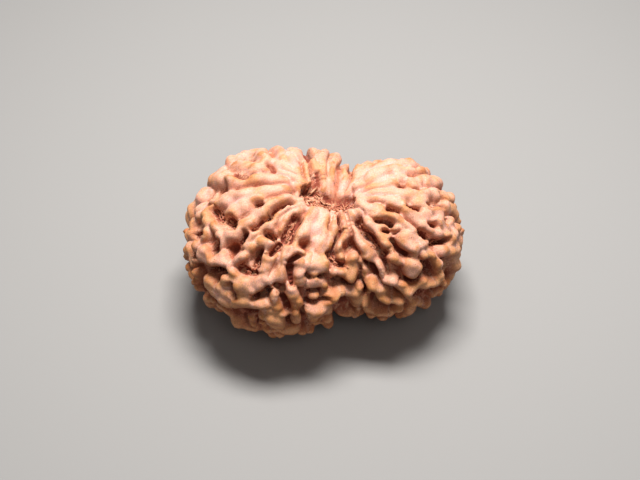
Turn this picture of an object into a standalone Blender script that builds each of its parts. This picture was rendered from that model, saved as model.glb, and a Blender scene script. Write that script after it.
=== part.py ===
"""A many-faced rudraksha stone: two lobes grown together, covered in raised ribs and tubercles.

The stone is one solid. A smooth two-lobed body is raised into ribs, loops and knobs and sunk into
pits, all laid out by longitude round the mouth and by polar angle from it, in degrees.
Lengths are in millimetres until the mesh is written out in metres. +Z is up, through the mouth,
+X runs to the smaller lobe and -Y is the front.
"""

import bmesh
import bpy
import numpy as np

METRES = 0.001

# Mesh: cells along a cube edge before relief, rounds that round it off, and the triangles that stay
CELLS = 88
ROUNDING_ROUNDS = 3
TRIANGLES = 11600

# Driving dimensions of the smooth body, under the relief: centres and half sizes
LEFT_LOBE = ((-4.6, -0.2, 0.0), (9.25, 9.8, 7.3))
RIGHT_LOBE = ((6.6, 0.2, -0.2), (7.2, 7.7, 7.1))
SHOULDERS = [
    ((-1.6, 4.4, 0.2), (4.2, 5.2, 6.2)),
    ((-6.2, 2.6, 1.2), (5.9, 5.9, 5.9)),
    ((8.2, 2.0, 1.2), (4.6, 4.6, 4.6)),
]
WAIST_BLEND = 3.2
SHOULDER_BLEND = 1.2
MOUTH_CENTRE = (0.4, 0.5)
FUNNEL_DEPTH = 1.5
FUNNEL_HALF_SIZE = (3.2, 1.8)
FUNNEL_FADE = 4.0
POLE_HEIGHT = 7.2

# The mouth in plan, as hollows side by side: centre, half size and the level of the husk that fills it
MOUTH_HOLLOWS = [
    ((-1.55, 0.0), (1.15, 1.95), 0.2), ((-0.3, -0.3), (1.1, 1.65), 0.25),
    ((1.0, -0.5), (1.0, 1.4), 0.3), ((2.15, -0.45), (1.4, 1.35), 0.25),
    ((-2.15, 0.95), (0.6, 0.45), -0.6),
]
MOUTH_RIM = 1.1
MOUTH_WALL = 0.25

# How the body's surface is found, the mesh spaced evenly over it and drawn to the relief's walls
NEAREST = 1.0
FARTHEST = 25.0
HALVINGS = 20
BODY_HALF_SIZE = (14.0, 10.0, 7.5)
PROJECTION_STEP = 0.9
PROJECTION_ROUNDS = 3
EVENING_ROUNDS = 8
EVENING_STEP = 0.6
WALL_PULL = 1.6
WALL_LIMIT = 8.0

# Relief
RIDGE_SMOOTHNESS = 8.0
RIB_REACH = 1.08
BAR_REACH = 1.0
BAR_RISE = 0.88
KNUCKLE_REACH = 1.08
KNUCKLE_RISE = 1.02
RIDGE_FULLNESS = 0.6
PIT_REACH = 0.9
CREASE_REACH = 1.1
PIT_WALL = 1.4
PIT_DROP = 0.5

# Unevenness of the crests (size, share at the top, share lower down) and of the relief's edges,
# and how far the valleys between the ridges are filled, at the top and lower down
WAVE_COUNT = 14
WAVE_SPREAD = (0.7, 1.4)
WAVE_SCALE = 4.0
SWELL = (1.4, 0.09, 0.17)
SWELL_TOP = 7.0
FILL = (0.45, 0.1)
WAVER = (2.1, 0.11)

# Ribs that fan out of the mouth, clockwise from the back: half width, height, path
MOUTH_RIBS = [
    (0.85, 1.1, [(152, 46), (144, 54), (137, 62), (134, 70)]),
    (0.8, 1.2, [(150, 36), (140, 44), (132, 52), (128, 60), (127, 70)]),
    (1.2, 1.05, [(163, 25), (155, 30), (142, 37), (131, 44), (122, 52), (118, 60), (116, 70)]),
    (0.5, 1.1, [(158, 18.5), (152, 22), (141, 25.5), (131, 29.5), (125, 34)]),
    (0.7, 0.85, [(116, 27), (113, 32), (109, 39), (105, 46), (104, 54), (103, 64)]),
    (0.75, 1.0, [(122, 13), (113, 18), (108, 24), (104, 31), (101, 38), (98, 46), (96, 54), (95, 64)]),
    (0.7, 0.95, [(100, 9), (90, 15), (87, 22), (88, 30), (90, 38), (88, 46), (86, 56)]),
    (0.65, 0.9, [(32, 19), (45, 24), (54, 30), (64, 37), (71, 43)]),
    (0.7, 1.05, [(18, 24), (29, 27), (38, 33), (45, 39), (50, 46), (55, 54)]),
    (0.75, 1.2, [(30, 34), (38, 40), (45, 48), (49, 57), (52, 66)]),
    (0.5, 1.2, [(34, 34), (39, 44), (43, 54), (45, 62)]),
    (0.9, 1.2, [(20, 31), (27, 38), (31, 46), (35, 54), (38, 64)]),
    (0.95, 1.1, [(13, 31), (16, 36), (18, 43)]),
    (0.9, 1.4, [(22, 38), (24, 48), (28, 57), (31, 66), (34, 76)]),
    (0.9, 1.0, [(4, 33), (6, 38), (9, 43), (15, 50)]),
    (1.0, 1.0, [(-6, 28), (-5, 33), (-5, 38), (-5, 44), (-3, 52), (-4, 57)]),
    (0.9, 1.1, [(-15, 28), (-14, 33), (-12, 38), (-12, 43), (-14, 49), (-17, 55), (-19, 60)]),
    (0.85, 1.1, [(-28, 28), (-27, 33), (-25, 38), (-23.5, 43), (-25, 49), (-27, 55), (-28, 61), (-28, 66)]),
    (0.55, 1.15, [(-38, 34), (-32, 38), (-28.5, 43), (-28, 48), (-30.5, 52)]),
    (0.7, 0.95, [(-38, 26), (-38, 31), (-38, 35), (-40, 39), (-41, 44)]),
    (0.95, 1.05, [(-46, 23), (-48, 29), (-50, 34), (-54, 40), (-55.5, 47), (-55, 54), (-55, 59)]),
    (0.8, 1.05, [(-62, 21), (-64, 28), (-66, 34), (-70, 40), (-74, 45), (-78, 49)]),
    (0.75, 1.05, [(-83, 23), (-82, 30), (-84, 37), (-88, 42), (-95, 44)]),
    (0.75, 1.1, [(-103, 22), (-101, 30), (-100, 38), (-100, 46), (-99, 53)]),
    (0.8, 0.75, [(-112, 25), (-110, 34), (-108, 43), (-105, 52)]),
    (0.95, 1.1, [(-124, 28), (-121, 36), (-118.5, 44), (-119.5, 51), (-121, 58), (-121, 67)]),
    (0.55, 1.0, [(-136, 29), (-138.5, 36), (-138, 42), (-134, 46)]),
    (0.8, 1.15, [(-145, 29), (-143, 36), (-143, 42), (-144, 48), (-143.5, 55), (-143, 61)]),
    (0.3, 0.8, [(-146.5, 36), (-147.5, 42)]),
    (0.95, 1.2, [(-159, 33), (-157.5, 37), (-155.5, 41), (-153, 48), (-152, 55), (-152.5, 61), (-154, 67)]),
    (1.05, 1.15, [(-176, 34), (-176, 39), (-175, 44), (-176, 51), (-177, 58), (-177, 66), (-179, 74)]),
    (0.95, 1.0, [(171, 34), (169, 38), (169, 44), (172, 52)]),
    (0.9, 0.95, [(157, 32), (152, 36), (149, 42), (150, 50)]),
    (0.9, 0.95, [(164, 34), (161, 39), (161, 46), (158, 54), (156, 62)]),
]

# Bulges, loops and knobs on the left lobe, from the top round to the front
LEFT_RELIEF = [
    (1.0, 1.25, [(139, 64), (145, 66), (151, 67)]),
    (1.0, 1.1, [(146, 72), (156, 70)]),
    (1.3, 1.25, [(170, 57), (167, 64)]),
    (1.1, 1.1, [(163, 66), (158, 74), (156, 82)]),
    (1.5, 1.3, [(171, 75), (173, 85)]),
    (1.1, 1.0, [(-172, 40), (-167, 46), (-168, 53), (-166, 57)]),
    (0.7, 1.0, [(-164, 44), (-162, 40)]),
    (0.75, 1.15, [(-178, 74), (-174, 70), (-169, 69), (-164, 66.5), (-158, 66)]),
    (0.9, 1.1, [(-177, 79), (-174, 84), (-171, 80)]),
    (0.9, 1.2, [(-164, 72), (-163, 77), (-163, 82)]),
    (0.45, 1.35, [(-178, 85), (-180, 87)]),
    (0.6, 1.2, [(-170, 87), (-171, 91)]),
    (0.75, 1.15, [(-168, 83), (-163, 86)]),
    (0.55, 1.2, [(-164, 90), (-160, 91)]),
    (0.5, 1.2, [(-157, 86), (-157, 90)]),
    (1.0, 1.3, [(-158, 76.5), (-152, 75), (-147, 71.5)]),
    (0.95, 1.3, [(-148, 83.5), (-145, 85)]),
    (0.5, 1.15, [(-151, 95), (-146, 92)]),
    (0.65, 1.2, [(-138.5, 56), (-140, 60), (-140.5, 65)]),
    (0.7, 1.15, [(-141.5, 65.5), (-142.5, 68), (-144, 71)]),
    (0.75, 1.2, [(-133, 54.5), (-129.5, 60), (-128.5, 66)]),
    (0.6, 1.0, [(-137, 55), (-133, 56)]),
    (0.6, 1.0, [(-125, 52), (-126.5, 58), (-127, 65)]),
    (0.8, 1.2, [(-142, 74), (-142, 80), (-141, 86), (-138, 87)]),
    (1.0, 1.2, [(-139, 74), (-133, 75), (-128, 72), (-125, 69)]),
    (1.4, 1.1, [(-134, 77), (-132, 82)]),
    (1.1, 1.05, [(-139.5, 77), (-138.5, 83)]),
    (0.7, 1.2, [(-138, 85.5), (-134, 84.5)]),
    (0.85, 1.3, [(-130, 82.5), (-127, 81), (-123.5, 80)]),
    (0.6, 1.2, [(-124.5, 69.5), (-126.5, 73), (-129, 76)]),
    (0.6, 1.1, [(-142, 92), (-136, 97), (-131, 103)]),
    (0.5, 1.1, [(-128, 88), (-127, 94), (-127, 98)]),
    (0.4, 1.0, [(-123, 94), (-123, 100)]),
]

# The knobby front, below the mouth's ribs
FRONT_RELIEF = [
    (1.1, 1.35, [(-120, 86.5), (-115, 87.5), (-116.5, 92)]),
    (0.8, 1.2, [(-120, 98), (-114, 99)]),
    (0.65, 1.15, [(-108, 85.5), (-108.5, 91)]),
    (0.75, 1.25, [(-120.5, 72.5), (-118.5, 76.5), (-116.5, 80.5)]),
    (0.7, 1.25, [(-114, 55), (-112, 59.5), (-110, 64), (-108.5, 68)]),
    (0.7, 1.2, [(-112.5, 71.5), (-111, 75), (-108.5, 80), (-107, 83)]),
    (1.0, 1.35, [(-106, 58.5), (-101, 59), (-96, 58.5)]),
    (0.8, 1.1, [(-101, 62), (-101.5, 65)]),
    (1.0, 0.85, [(-101.5, 70), (-98, 70.5)]),
    (0.55, 0.9, [(-100.5, 76.5)]),
    (0.5, 0.95, [(-95, 72), (-91.5, 77)]),
    (0.9, 1.3, [(-103, 85.5), (-98, 86.5), (-94, 83), (-91.5, 80)]),
    (0.8, 1.3, [(-99.5, 86), (-100, 91)]),
    (0.6, 1.2, [(-93, 84), (-93.5, 89)]),
    (0.65, 1.2, [(-80, 50.5), (-81, 56)]),
    (0.9, 1.25, [(-69, 57), (-72, 65), (-74, 71.5)]),
    (0.8, 1.1, [(-88, 64), (-81, 66), (-74, 68.5)]),
    (0.9, 1.2, [(-85, 80), (-78, 81), (-72, 84), (-70, 92)]),
    (0.7, 1.15, [(-66.5, 79), (-68.5, 86)]),
    (0.45, 0.85, [(-63.5, 62), (-61.5, 68), (-62, 75)]),
    (0.4, 1.35, [(-68, 99), (-68, 106), (-68, 113)]),
    (0.6, 1.0, [(-58, 107), (-53, 108)]),
]

# Loops, bars and knobs on the right lobe, from the front round to the back
RIGHT_RELIEF = [
    (0.65, 1.3, [(-63, 84), (-63.5, 90), (-62, 97), (-57, 101.5), (-51, 101), (-48, 96), (-48.5, 89)]),
    (0.8, 1.4, [(-58.5, 77), (-54.5, 82.5), (-52, 87)]),
    (0.45, 1.1, [(-54, 60.5), (-52.5, 66), (-52, 71), (-52, 75)]),
    (0.55, 1.3, [(-43.5, 57), (-44, 61), (-43.5, 65)]),
    (0.45, 1.0, [(-43, 67), (-40, 70)]),
    (0.7, 1.4, [(-49, 75), (-46.5, 80), (-44, 85)]),
    (0.5, 1.2, [(-43, 88), (-41.5, 94), (-42, 100)]),
    (0.45, 1.2, [(-41.5, 104), (-41, 108)]),
    (0.9, 1.05, [(-41, 45), (-39.5, 51), (-41, 56)]),
    (1.05, 1.5, [(-33, 60.5), (-34.5, 65)]),
    (0.85, 1.4, [(-38.5, 71), (-38.3, 74)]),
    (0.7, 1.1, [(-42, 83), (-36, 84), (-31, 86)]),
    (0.65, 1.25, [(-29, 67), (-28.3, 73), (-27.5, 79), (-29, 85)]),
    (0.75, 1.3, [(-29.8, 70)]),
    (0.35, 1.0, [(-26, 89), (-25, 92)]),
    (0.5, 0.95, [(-40, 94), (-38, 98)]),
    (0.6, 1.1, [(-30, 97), (-26, 97)]),
    (0.6, 1.1, [(-22, 96), (-20, 100)]),
    (0.8, 1.1, [(-22, 75), (-18, 79)]),
    (0.6, 1.1, [(-20, 64), (-18, 68), (-14.5, 73)]),
    (0.7, 1.1, [(-14, 65), (-12, 71), (-9, 77)]),
    (1.1, 1.0, [(-10, 56), (-11, 61), (-9, 66)]),
    (1.15, 1.15, [(-14, 77), (-14, 84), (-14, 92), (-13, 100)]),
    (0.9, 1.0, [(-6, 74), (-4, 81), (-3, 89), (-2, 97)]),
    (0.4, 1.25, [(0, 86), (0, 89)]),
    (0.85, 1.1, [(0, 69), (3, 75), (5, 83)]),
    (0.8, 1.15, [(1, 58), (4, 63), (7, 70), (11, 77), (16, 86)]),
    (0.9, 1.2, [(8, 53), (11, 60), (15, 66), (19, 72), (23, 80)]),
    (0.65, 1.2, [(19, 50), (21, 57), (22, 63), (26, 71)]),
]

# Pits and slots: half width, depth under the smooth body (less than 0 for a raised floor), path
PITS = [
    (0.5, 0.4, [(113, 39), (111, 48), (109, 60), (108, 68)]),
    (0.45, -0.7, [(131, 19), (121, 22.5), (115, 27)]),
    (0.5, 0.8, [(-149.5, 33), (-150, 38), (-149.5, 43), (-147.5, 46)]),
    (0.6, 1.0, [(-138.5, 51.5), (-134.5, 52)]),
    (0.95, 0.35, [(-131, 38), (-129, 44), (-126, 49)]),
    (0.5, 0.1, [(-128, 53), (-129, 59)]),
    (0.5, 0.1, [(-148, 49), (-147.5, 54)]),
    (0.5, 1.0, [(-147.5, 58), (-147, 61.5)]),
    (0.75, 1.2, [(-162, 46), (-160, 46.5)]),
    (0.65, 1.0, [(-163, 60.5), (-159.5, 59.5), (-156, 60)]),
    (0.6, 0.2, [(-174, 66), (-170, 64.5), (-166, 63)]),
    (0.55, 1.1, [(-169.5, 77.5), (-167, 75), (-165, 73)]),
    (0.75, 1.1, [(-155.5, 69), (-154.5, 72)]),
    (0.4, 0.4, [(-164, 82), (-160, 81)]),
    (0.5, 0.7, [(-150.5, 78.5), (-147, 76.5), (-143, 74.5)]),
    (0.55, 0.9, [(-135, 60), (-133.5, 63), (-132.5, 65.5)]),
    (0.6, 0.2, [(-138.5, 70), (-135, 70), (-131.5, 69)]),
    (0.5, 0.5, [(-137.5, 78), (-135.5, 81)]),
    (0.5, 0.7, [(-127, 78.5), (-124.5, 76.5), (-122.5, 74)]),
    (0.5, 0.4, [(-139, 90.5), (-132, 89.5), (-126, 86.5)]),
    (0.4, 0.3, [(-114.5, 56.5), (-116.5, 59.5)]),
    (0.45, 0.8, [(-115.8, 62), (-114.5, 65.5), (-113, 70)]),
    (0.5, 0.2, [(-119.5, 72), (-116.5, 73)]),
    (0.6, 0.8, [(-115, 76), (-114, 79.5), (-113, 83)]),
    (0.35, 0.35, [(-106.5, 65), (-104, 67)]),
    (0.35, 0.3, [(-99, 66), (-96, 65)]),
    (0.35, 0.4, [(-103, 73.7), (-97, 74)]),
    (0.35, 0.4, [(-104, 79.5), (-99, 81), (-94, 79.5)]),
    (0.4, 0.7, [(-106, 82), (-105.5, 87), (-105, 92)]),
    (0.4, 0.6, [(-112.5, 87), (-112, 93)]),
    (0.5, 0.5, [(-131, 94.5), (-129, 98)]),
    (0.35, 0.5, [(-125.5, 94), (-124.5, 99)]),
    (0.5, 0.4, [(-98, 92.5), (-93, 93)]),
    (0.5, -0.3, [(-93.5, 52), (-92.5, 57), (-91.5, 62)]),
    (0.75, -0.3, [(-88, 55), (-86, 60), (-80, 61)]),
    (0.4, 0.6, [(-88, 68.5), (-83, 71.5), (-79, 74.5), (-73, 77), (-67, 75)]),
    (1.1, 0.4, [(-86, 88), (-80, 94)]),
    (0.35, 0.3, [(-73.5, 24), (-72, 30), (-75, 37), (-80, 42), (-87, 47), (-89, 53)]),
    (0.45, 0.6, [(-58.5, 63), (-56.5, 66), (-55.5, 71)]),
    (0.4, 0.5, [(-48.5, 62), (-49, 67), (-50, 72)]),
    (0.35, 0.5, [(-65, 74), (-63.5, 79), (-65, 84)]),
    (0.75, 0.5, [(-58, 90), (-56, 94.5), (-52, 94)]),
    (0.7, 0.8, [(-46.5, 38), (-47.5, 45), (-47.5, 52), (-47, 58), (-46.5, 61)]),
    (0.45, 0.7, [(-33, 44.5), (-31.5, 47), (-31, 50)]),
    (0.3, 0.5, [(-38, 50), (-36, 52)]),
    (0.45, 0.6, [(-38.5, 57), (-39, 61), (-37.5, 66)]),
    (0.5, 0.6, [(-20.5, 44.5), (-20, 48)]),
    (0.35, 0.25, [(3, 47.5), (5, 48)]),
    (0.3, 0.5, [(2, 54), (2.5, 57)]),
    (0.5, 0.9, [(-7.5, 60.5), (-6, 62)]),
    (0.3, 0.4, [(-3.5, 65), (-2.5, 66.5)]),
    (0.3, 0.3, [(4, 65), (3, 68)]),
    (0.45, 0.15, [(-12.5, 51.5), (-13.5, 55.5)]),
    (0.5, 0.9, [(-24, 61.5), (-23, 64.5)]),
    (0.45, 0.4, [(-17.5, 63.5), (-15.5, 65.5)]),
    (0.35, 0.2, [(-10, 70), (-6, 71.5)]),
    (0.55, 0.2, [(-23, 69.5), (-19.5, 72), (-16, 74)]),
    (0.75, 0.5, [(-23, 82), (-22.5, 88)]),
    (0.6, 0.8, [(-31, 74), (-32, 78.5)]),
    (0.35, 0.5, [(-46, 77), (-41, 79.5), (-36, 80)]),
    (0.6, 0.3, [(-40, 89), (-35, 92)]),
    (0.6, -0.7, [(154, 44), (157, 41.5), (160, 40)]),
    (0.7, -0.6, [(165.5, 56), (168, 53), (170, 50.5)]),
]

# Creases and hollows that only dent the ribs: half width, drop, path
CREASES = [
    (0.3, 0.45, [(150, 17), (145, 19.5), (129, 24.5), (120, 31), (117, 37)]),
    (0.25, 0.4, [(155, 22), (151, 26), (141, 30), (132, 34), (127, 38)]),
    (0.22, 0.2, [(107, 36), (103, 44), (101, 52), (100, 62)]),
    (0.3, 0.25, [(118, 12), (102, 20), (98, 28), (96, 36), (93, 46), (91, 56)]),
    (0.3, 0.25, [(66, 12), (77, 18), (82, 29), (86, 38), (89, 46)]),
    (0.3, 0.35, [(25, 20), (37, 25), (46, 31), (55, 38), (61, 46)]),
    (0.25, 0.15, [(24, 30), (34, 36), (42, 44), (49, 54)]),
    (0.25, 0.15, [(33, 27), (37, 36), (40, 44)]),
    (0.3, 0.15, [(25, 28), (25, 37), (26, 44), (29, 52)]),
    (0.3, 0.2, [(12, 29), (13, 37), (17, 43), (19, 47)]),
    (0.4, 0.2, [(4, 48), (10, 48), (13, 46)]),
    (0.3, 0.25, [(26, 58), (20, 57), (17, 55)]),
    (0.3, 0.25, [(17, 57), (13, 59), (7, 58)]),
    (0.3, 0.2, [(0, 30), (0, 38), (-1, 45)]),
    (0.3, 0.2, [(-10, 30), (-9, 38), (-9, 45), (-10, 51)]),
    (0.25, 0.4, [(-19, 36), (-19, 42)]),
    (0.25, 0.4, [(-21.5, 48), (-22.5, 54), (-24, 60), (-26, 66), (-27, 70)]),
    (0.3, 0.4, [(-36, 27), (-36, 34), (-38, 38)]),
    (0.4, 0.5, [(-55, 28), (-59, 35), (-61, 42), (-63, 49), (-61, 56)]),
    (0.3, 0.2, [(-54.5, 44.5), (-53, 46)]),
    (0.3, 0.3, [(-92, 23), (-92, 30), (-93, 37)]),
    (0.3, 0.5, [(-131, 30), (-130, 37)]),
    (0.35, 0.4, [(-129, 53), (-124, 60), (-124, 68)]),
    (0.35, 0.5, [(-141, 33), (-141, 40), (-139, 46)]),
    (0.4, 0.3, [(-168, 30), (-166, 36), (-164, 42)]),
    (0.45, 0.35, [(178, 29), (177, 38), (178, 46), (179, 54)]),
    (0.8, 0.75, [(173, 60), (176, 63.5)]),
    (0.6, 0.25, [(-179, 59), (-178, 63)]),
    (0.35, 0.45, [(-177, 65), (-178, 68)]),
    (0.4, 0.35, [(163, 33), (164, 42), (168, 50)]),
    (0.35, 0.3, [(171, 50), (167, 48)]),
    (0.45, 0.3, [(151, 50), (152, 53)]),
    (0.45, 0.5, [(150, 58), (154, 61)]),
    (0.35, 0.3, [(156, 31), (154, 38)]),
    (0.3, 0.35, [(-110.5, 77), (-109, 81.5)]),
    (0.3, 0.4, [(-151, 92), (-146, 89)]),
    (0.3, 0.4, [(-120, 95.5), (-114, 95)]),
    (0.9, 0.7, [(-113.5, 48), (-111, 49)]),
    (0.9, 0.8, [(-73, 52), (-67, 50)]),
    (0.8, 0.8, [(-147.5, 65), (-147, 68)]),
]

# Seams between the stone's faces, by longitude
SEAMS = [-179, -161, -143, -121, -104.5, -87, -66.5, -50, -30, -11, 8, 27, 46, 64, 86, 106, 126, 146, 164]

# Polar angle at which the relief above ends, by longitude; below it the net is grown by rule
GROWN_FROM = [
    (-180, 93), (-165, 93), (-150, 98), (-140, 99), (-120, 104), (-100, 95), (-85, 101), (-68, 117),
    (-55, 109), (-42, 111), (-30, 102), (-15, 104), (0, 91), (10, 82), (20, 80), (30, 74), (45, 64),
    (60, 58), (90, 63), (115, 70), (130, 71), (150, 74), (165, 84), (180, 93),
]
GROWN_TO = 166
GROWN_STEP = 1.65
GROWN_SEED = 11

# The grown knobs, the bars down to the next row and the links along a row
FIRST_ROW_STRAY = 6.0
KNOB_STRAY = (0.2, 4.0)
KNOB_WIDTH = (0.5, 0.85)
KNOB_HEIGHT = (0.9, 1.4)
BAR_CHANCE = 0.75
BAR_WIDTH = (0.45, 0.6)
BAR_HEIGHT = (0.6, 0.95)
LINK_CHANCE = 0.4
LINK_WIDTH = 0.45
LINK_HEIGHT = 0.8

# Low tubercles that the stone rests on (longitude, polar angle) and the level that they end at
FEET = [(-143, 138.5), (148, 139), (-28, 135), (22, 135.5)]
FOOT_WIDTH = 1.35
FOOT_BULGE = 0.4
FOOT_CUT = -8.15


def ellipsoid(points, centre, half):
    """Distance to an ellipsoid, to first order."""
    q = (points - np.array(centre)) / np.array(half)
    k0 = np.linalg.norm(q, axis=-1)
    k1 = np.linalg.norm(q / np.array(half), axis=-1)
    return k0 * (k0 - 1) / np.maximum(k1, 1e-9)


def blended(a, b, k):
    """Union of two distances with a fillet k wide."""
    h = np.clip(0.5 + 0.5 * (b - a) / k, 0, 1)
    return b * (1 - h) + a * h - k * h * (1 - h)


def body(points):
    """Distance to the smooth body, negative inside."""
    d = blended(ellipsoid(points, *LEFT_LOBE), ellipsoid(points, *RIGHT_LOBE), WAIST_BLEND)
    for shoulder in SHOULDERS:
        d = blended(d, ellipsoid(points, *shoulder), SHOULDER_BLEND)
    for side in (1, -1):
        across = (points[..., :2] - np.array(MOUTH_CENTRE)) / np.array(FUNNEL_HALF_SIZE)
        along = (points[..., 2] - side * POLE_HEIGHT) / POLE_HEIGHT
        d = d + FUNNEL_DEPTH * np.exp(-(across**2).sum(-1) - FUNNEL_FADE * along**2)
    return d


def slope(points, step=0.05):
    """Outward direction of the smooth body, unit length."""
    corners = np.array([(1, -1, -1), (-1, -1, 1), (-1, 1, -1), (1, 1, 1)])
    g = sum(body(points + step * corner)[..., None] * corner for corner in corners)
    return g / np.linalg.norm(g, axis=-1, keepdims=True)


def on_body(angles):
    """Points of the smooth body at (longitude, polar angle) pairs in degrees."""
    lon, polar = np.radians(np.array(angles, float)).T
    ray = np.stack([np.cos(lon) * np.sin(polar), np.sin(lon) * np.sin(polar), np.cos(polar)], -1)
    start = np.array([*MOUTH_CENTRE, 0.0])
    near, far = np.full(len(ray), NEAREST), np.full(len(ray), FARTHEST)
    for _ in range(HALVINGS):
        middle = (near + far) / 2
        inside = body(start + ray * middle[:, None]) < 0
        near, far = np.where(inside, middle, near), np.where(inside, far, middle)
    return start + ray * near[:, None]


def smooth_path(angles, spacing=0.4):
    """A curve on the body through the given places, as points about spacing apart."""
    knots = on_body(angles)
    if len(knots) == 1:
        return knots
    ends = np.vstack([2 * knots[0] - knots[1], knots, 2 * knots[-1] - knots[-2]])
    out = []
    for a, b, c, d in zip(ends, ends[1:], ends[2:], ends[3:]):
        for t in np.arange(0, 1, spacing / max(spacing, np.linalg.norm(c - b))):
            out.append(
                0.5 * (2 * b + (c - a) * t + (2 * a - 5 * b + 4 * c - d) * t**2
                       + (3 * b - a - 3 * c + d) * t**3)
            )
    return np.array([*out, knots[-1]])


def gap_to_path(points, path):
    """Distance from each point to a polyline."""
    if len(path) == 1:
        return np.linalg.norm(points - path[0], axis=1)
    best = np.full(len(points), np.inf)
    for a, b in zip(path, path[1:]):
        along = b - a
        t = np.clip((points - a) @ along / (along @ along), 0, 1)
        best = np.minimum(best, np.linalg.norm(points - a - t[:, None] * along, axis=1))
    return best


def grown_relief():
    """Knobs and the bars between them, for the back and the underside, as ridges."""
    rng = np.random.default_rng(GROWN_SEED)
    limit_lon, limit_polar = np.array(GROWN_FROM, float).T
    found = []
    for left, right in zip(SEAMS, [*SEAMS[1:], SEAMS[0] + 360]):
        centre, width = (left + right) / 2, right - left
        polar = np.interp((centre + 180) % 360 - 180, limit_lon, limit_polar)
        polar += rng.uniform(0, FIRST_ROW_STRAY)
        before = []
        while polar < GROWN_TO:
            spot = on_body([(centre, polar)])[0]
            reach = np.hypot(spot[0] - MOUTH_CENTRE[0], spot[1] - MOUTH_CENTRE[1])
            across = max(1, round(reach * np.radians(width) / GROWN_STEP))
            row = []
            for i in range(across):
                lon = centre + width * ((i + 0.5) / across - 0.5 + KNOB_STRAY[0] * rng.uniform(-1, 1))
                row.append((lon, polar + KNOB_STRAY[1] * rng.uniform(-1, 1)))
            for knob in row:
                found.append((rng.uniform(*KNOB_WIDTH), rng.uniform(*KNOB_HEIGHT), [knob]))
                if before and rng.random() < BAR_CHANCE:
                    nearest = min(before, key=lambda other: abs(other[0] - knob[0]))
                    found.append((rng.uniform(*BAR_WIDTH), rng.uniform(*BAR_HEIGHT), [nearest, knob]))
            for one, other in zip(row, row[1:]):
                if rng.random() < LINK_CHANCE:
                    found.append((LINK_WIDTH, LINK_HEIGHT, [one, other]))
            before = row
            polar += np.degrees(GROWN_STEP / np.linalg.norm(spot - np.array([*MOUTH_CENTRE, 0])))
    return found


def feet():
    """The low tubercles as knobs, each tall enough to pass the cut by the same amount."""
    found = []
    for foot in FEET:
        root = on_body([foot])
        drop = (root[0, 2] - FOOT_CUT + FOOT_BULGE) / -slope(root)[0, 2]
        found.append((FOOT_WIDTH, drop, [foot]))
    return found


def waves(points, size, seed):
    """Smooth irregular waves, mostly between -1 and 1, a few times size long."""
    rng = np.random.default_rng(seed)
    ways = rng.normal(size=(WAVE_COUNT, 3))
    ways /= np.linalg.norm(ways, axis=1, keepdims=True)
    ways *= 2 * np.pi / size * rng.uniform(*WAVE_SPREAD, (WAVE_COUNT, 1))
    return np.sin(points @ ways.T + rng.uniform(0, 2 * np.pi, WAVE_COUNT)).sum(1) / WAVE_SCALE


def wavered(points):
    """The points moved a little, so that the relief's edges waver."""
    size, reach = WAVER
    return points + reach * np.stack([waves(points, size, seed) for seed in (1, 2, 3)], -1)


def near_path(points, path, reach):
    """Which points may lie within reach of a path."""
    return np.all((points > path.min(0) - reach) & (points < path.max(0) + reach), axis=1)


def top_to_below(points, values):
    """A value that fades from the one for the top of the stone to the one for lower down."""
    top, below = values
    return below + (top - below) * smooth_step(points[:, 2] / SWELL_TOP)


def ridge_height(points):
    """Height of every ridge and knob over the smooth body, run together where they meet.

    A bar or loop swells into a knuckle at each of its places.
    """
    total = np.exp(RIDGE_SMOOTHNESS * top_to_below(points, FILL)) - 1
    knobs = LEFT_RELIEF + FRONT_RELIEF + RIGHT_RELIEF + grown_relief()
    ridges = [(width * RIB_REACH, height, angles) for width, height, angles in MOUTH_RIBS]
    for width, height, angles in knobs:
        ridges.append((width * BAR_REACH, height * BAR_RISE, angles))
        ridges += [(width * KNUCKLE_REACH, height * KNUCKLE_RISE, [place]) for place in angles]
    for reach, height, angles in ridges + feet():
        path = smooth_path(angles)
        near = near_path(points, path, reach)
        share = np.clip(gap_to_path(points[near], path) / reach, 0, 1)
        rise = height * (1 - share**2) ** RIDGE_FULLNESS
        total[near] += np.exp(RIDGE_SMOOTHNESS * rise) - 1
    return np.log1p(total) / RIDGE_SMOOTHNESS


def smooth_step(share):
    """0 to 1 with level ends."""
    share = np.clip(share, 0, 1)
    return share * share * (3 - 2 * share)


def mouth_hollows(points):
    """For each hollow of the mouth, which points lie in it (1 inside, 0 outside) and its level."""
    for centre, half, level in MOUTH_HOLLOWS:
        reach = np.linalg.norm((points[:, :2] - np.array(centre)) / np.array(half), axis=1)
        yield np.where(points[:, 2] > 0, smooth_step((MOUTH_RIM - reach) / MOUTH_WALL), 0), level


def sunk(points, height):
    """The heights once the creases, pits and the mouth are cut into them."""
    height = height.copy()
    for half_width, drop, angles in CREASES:
        path = smooth_path(angles)
        reach = half_width * CREASE_REACH
        near = near_path(points, path, reach)
        share = smooth_step(1 - gap_to_path(points[near], path) / reach)
        height[near] -= drop * share
    for half_width, depth, angles in PITS:
        path = smooth_path(angles)
        reach = half_width * PIT_REACH
        near = near_path(points, path, reach)
        share = smooth_step(PIT_WALL * (1 - gap_to_path(points[near], path) / reach))
        height[near] = height[near] * (1 - share) - depth * PIT_DROP * share
    for share, level in mouth_hollows(points):
        height = height * (1 - share) + level * share
    return height


def surface_height(points):
    """Height of the whole relief over the smooth body."""
    size, *shares = SWELL
    place = wavered(points)
    ridges = ridge_height(place) * (1 + top_to_below(points, shares) * waves(points, size, 4))
    return sunk(place, ridges)


def onto_body(points, rounds):
    """The points moved onto the smooth body."""
    for _ in range(rounds):
        points = points - PROJECTION_STEP * body(points)[:, None] * slope(points)
    return points


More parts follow.
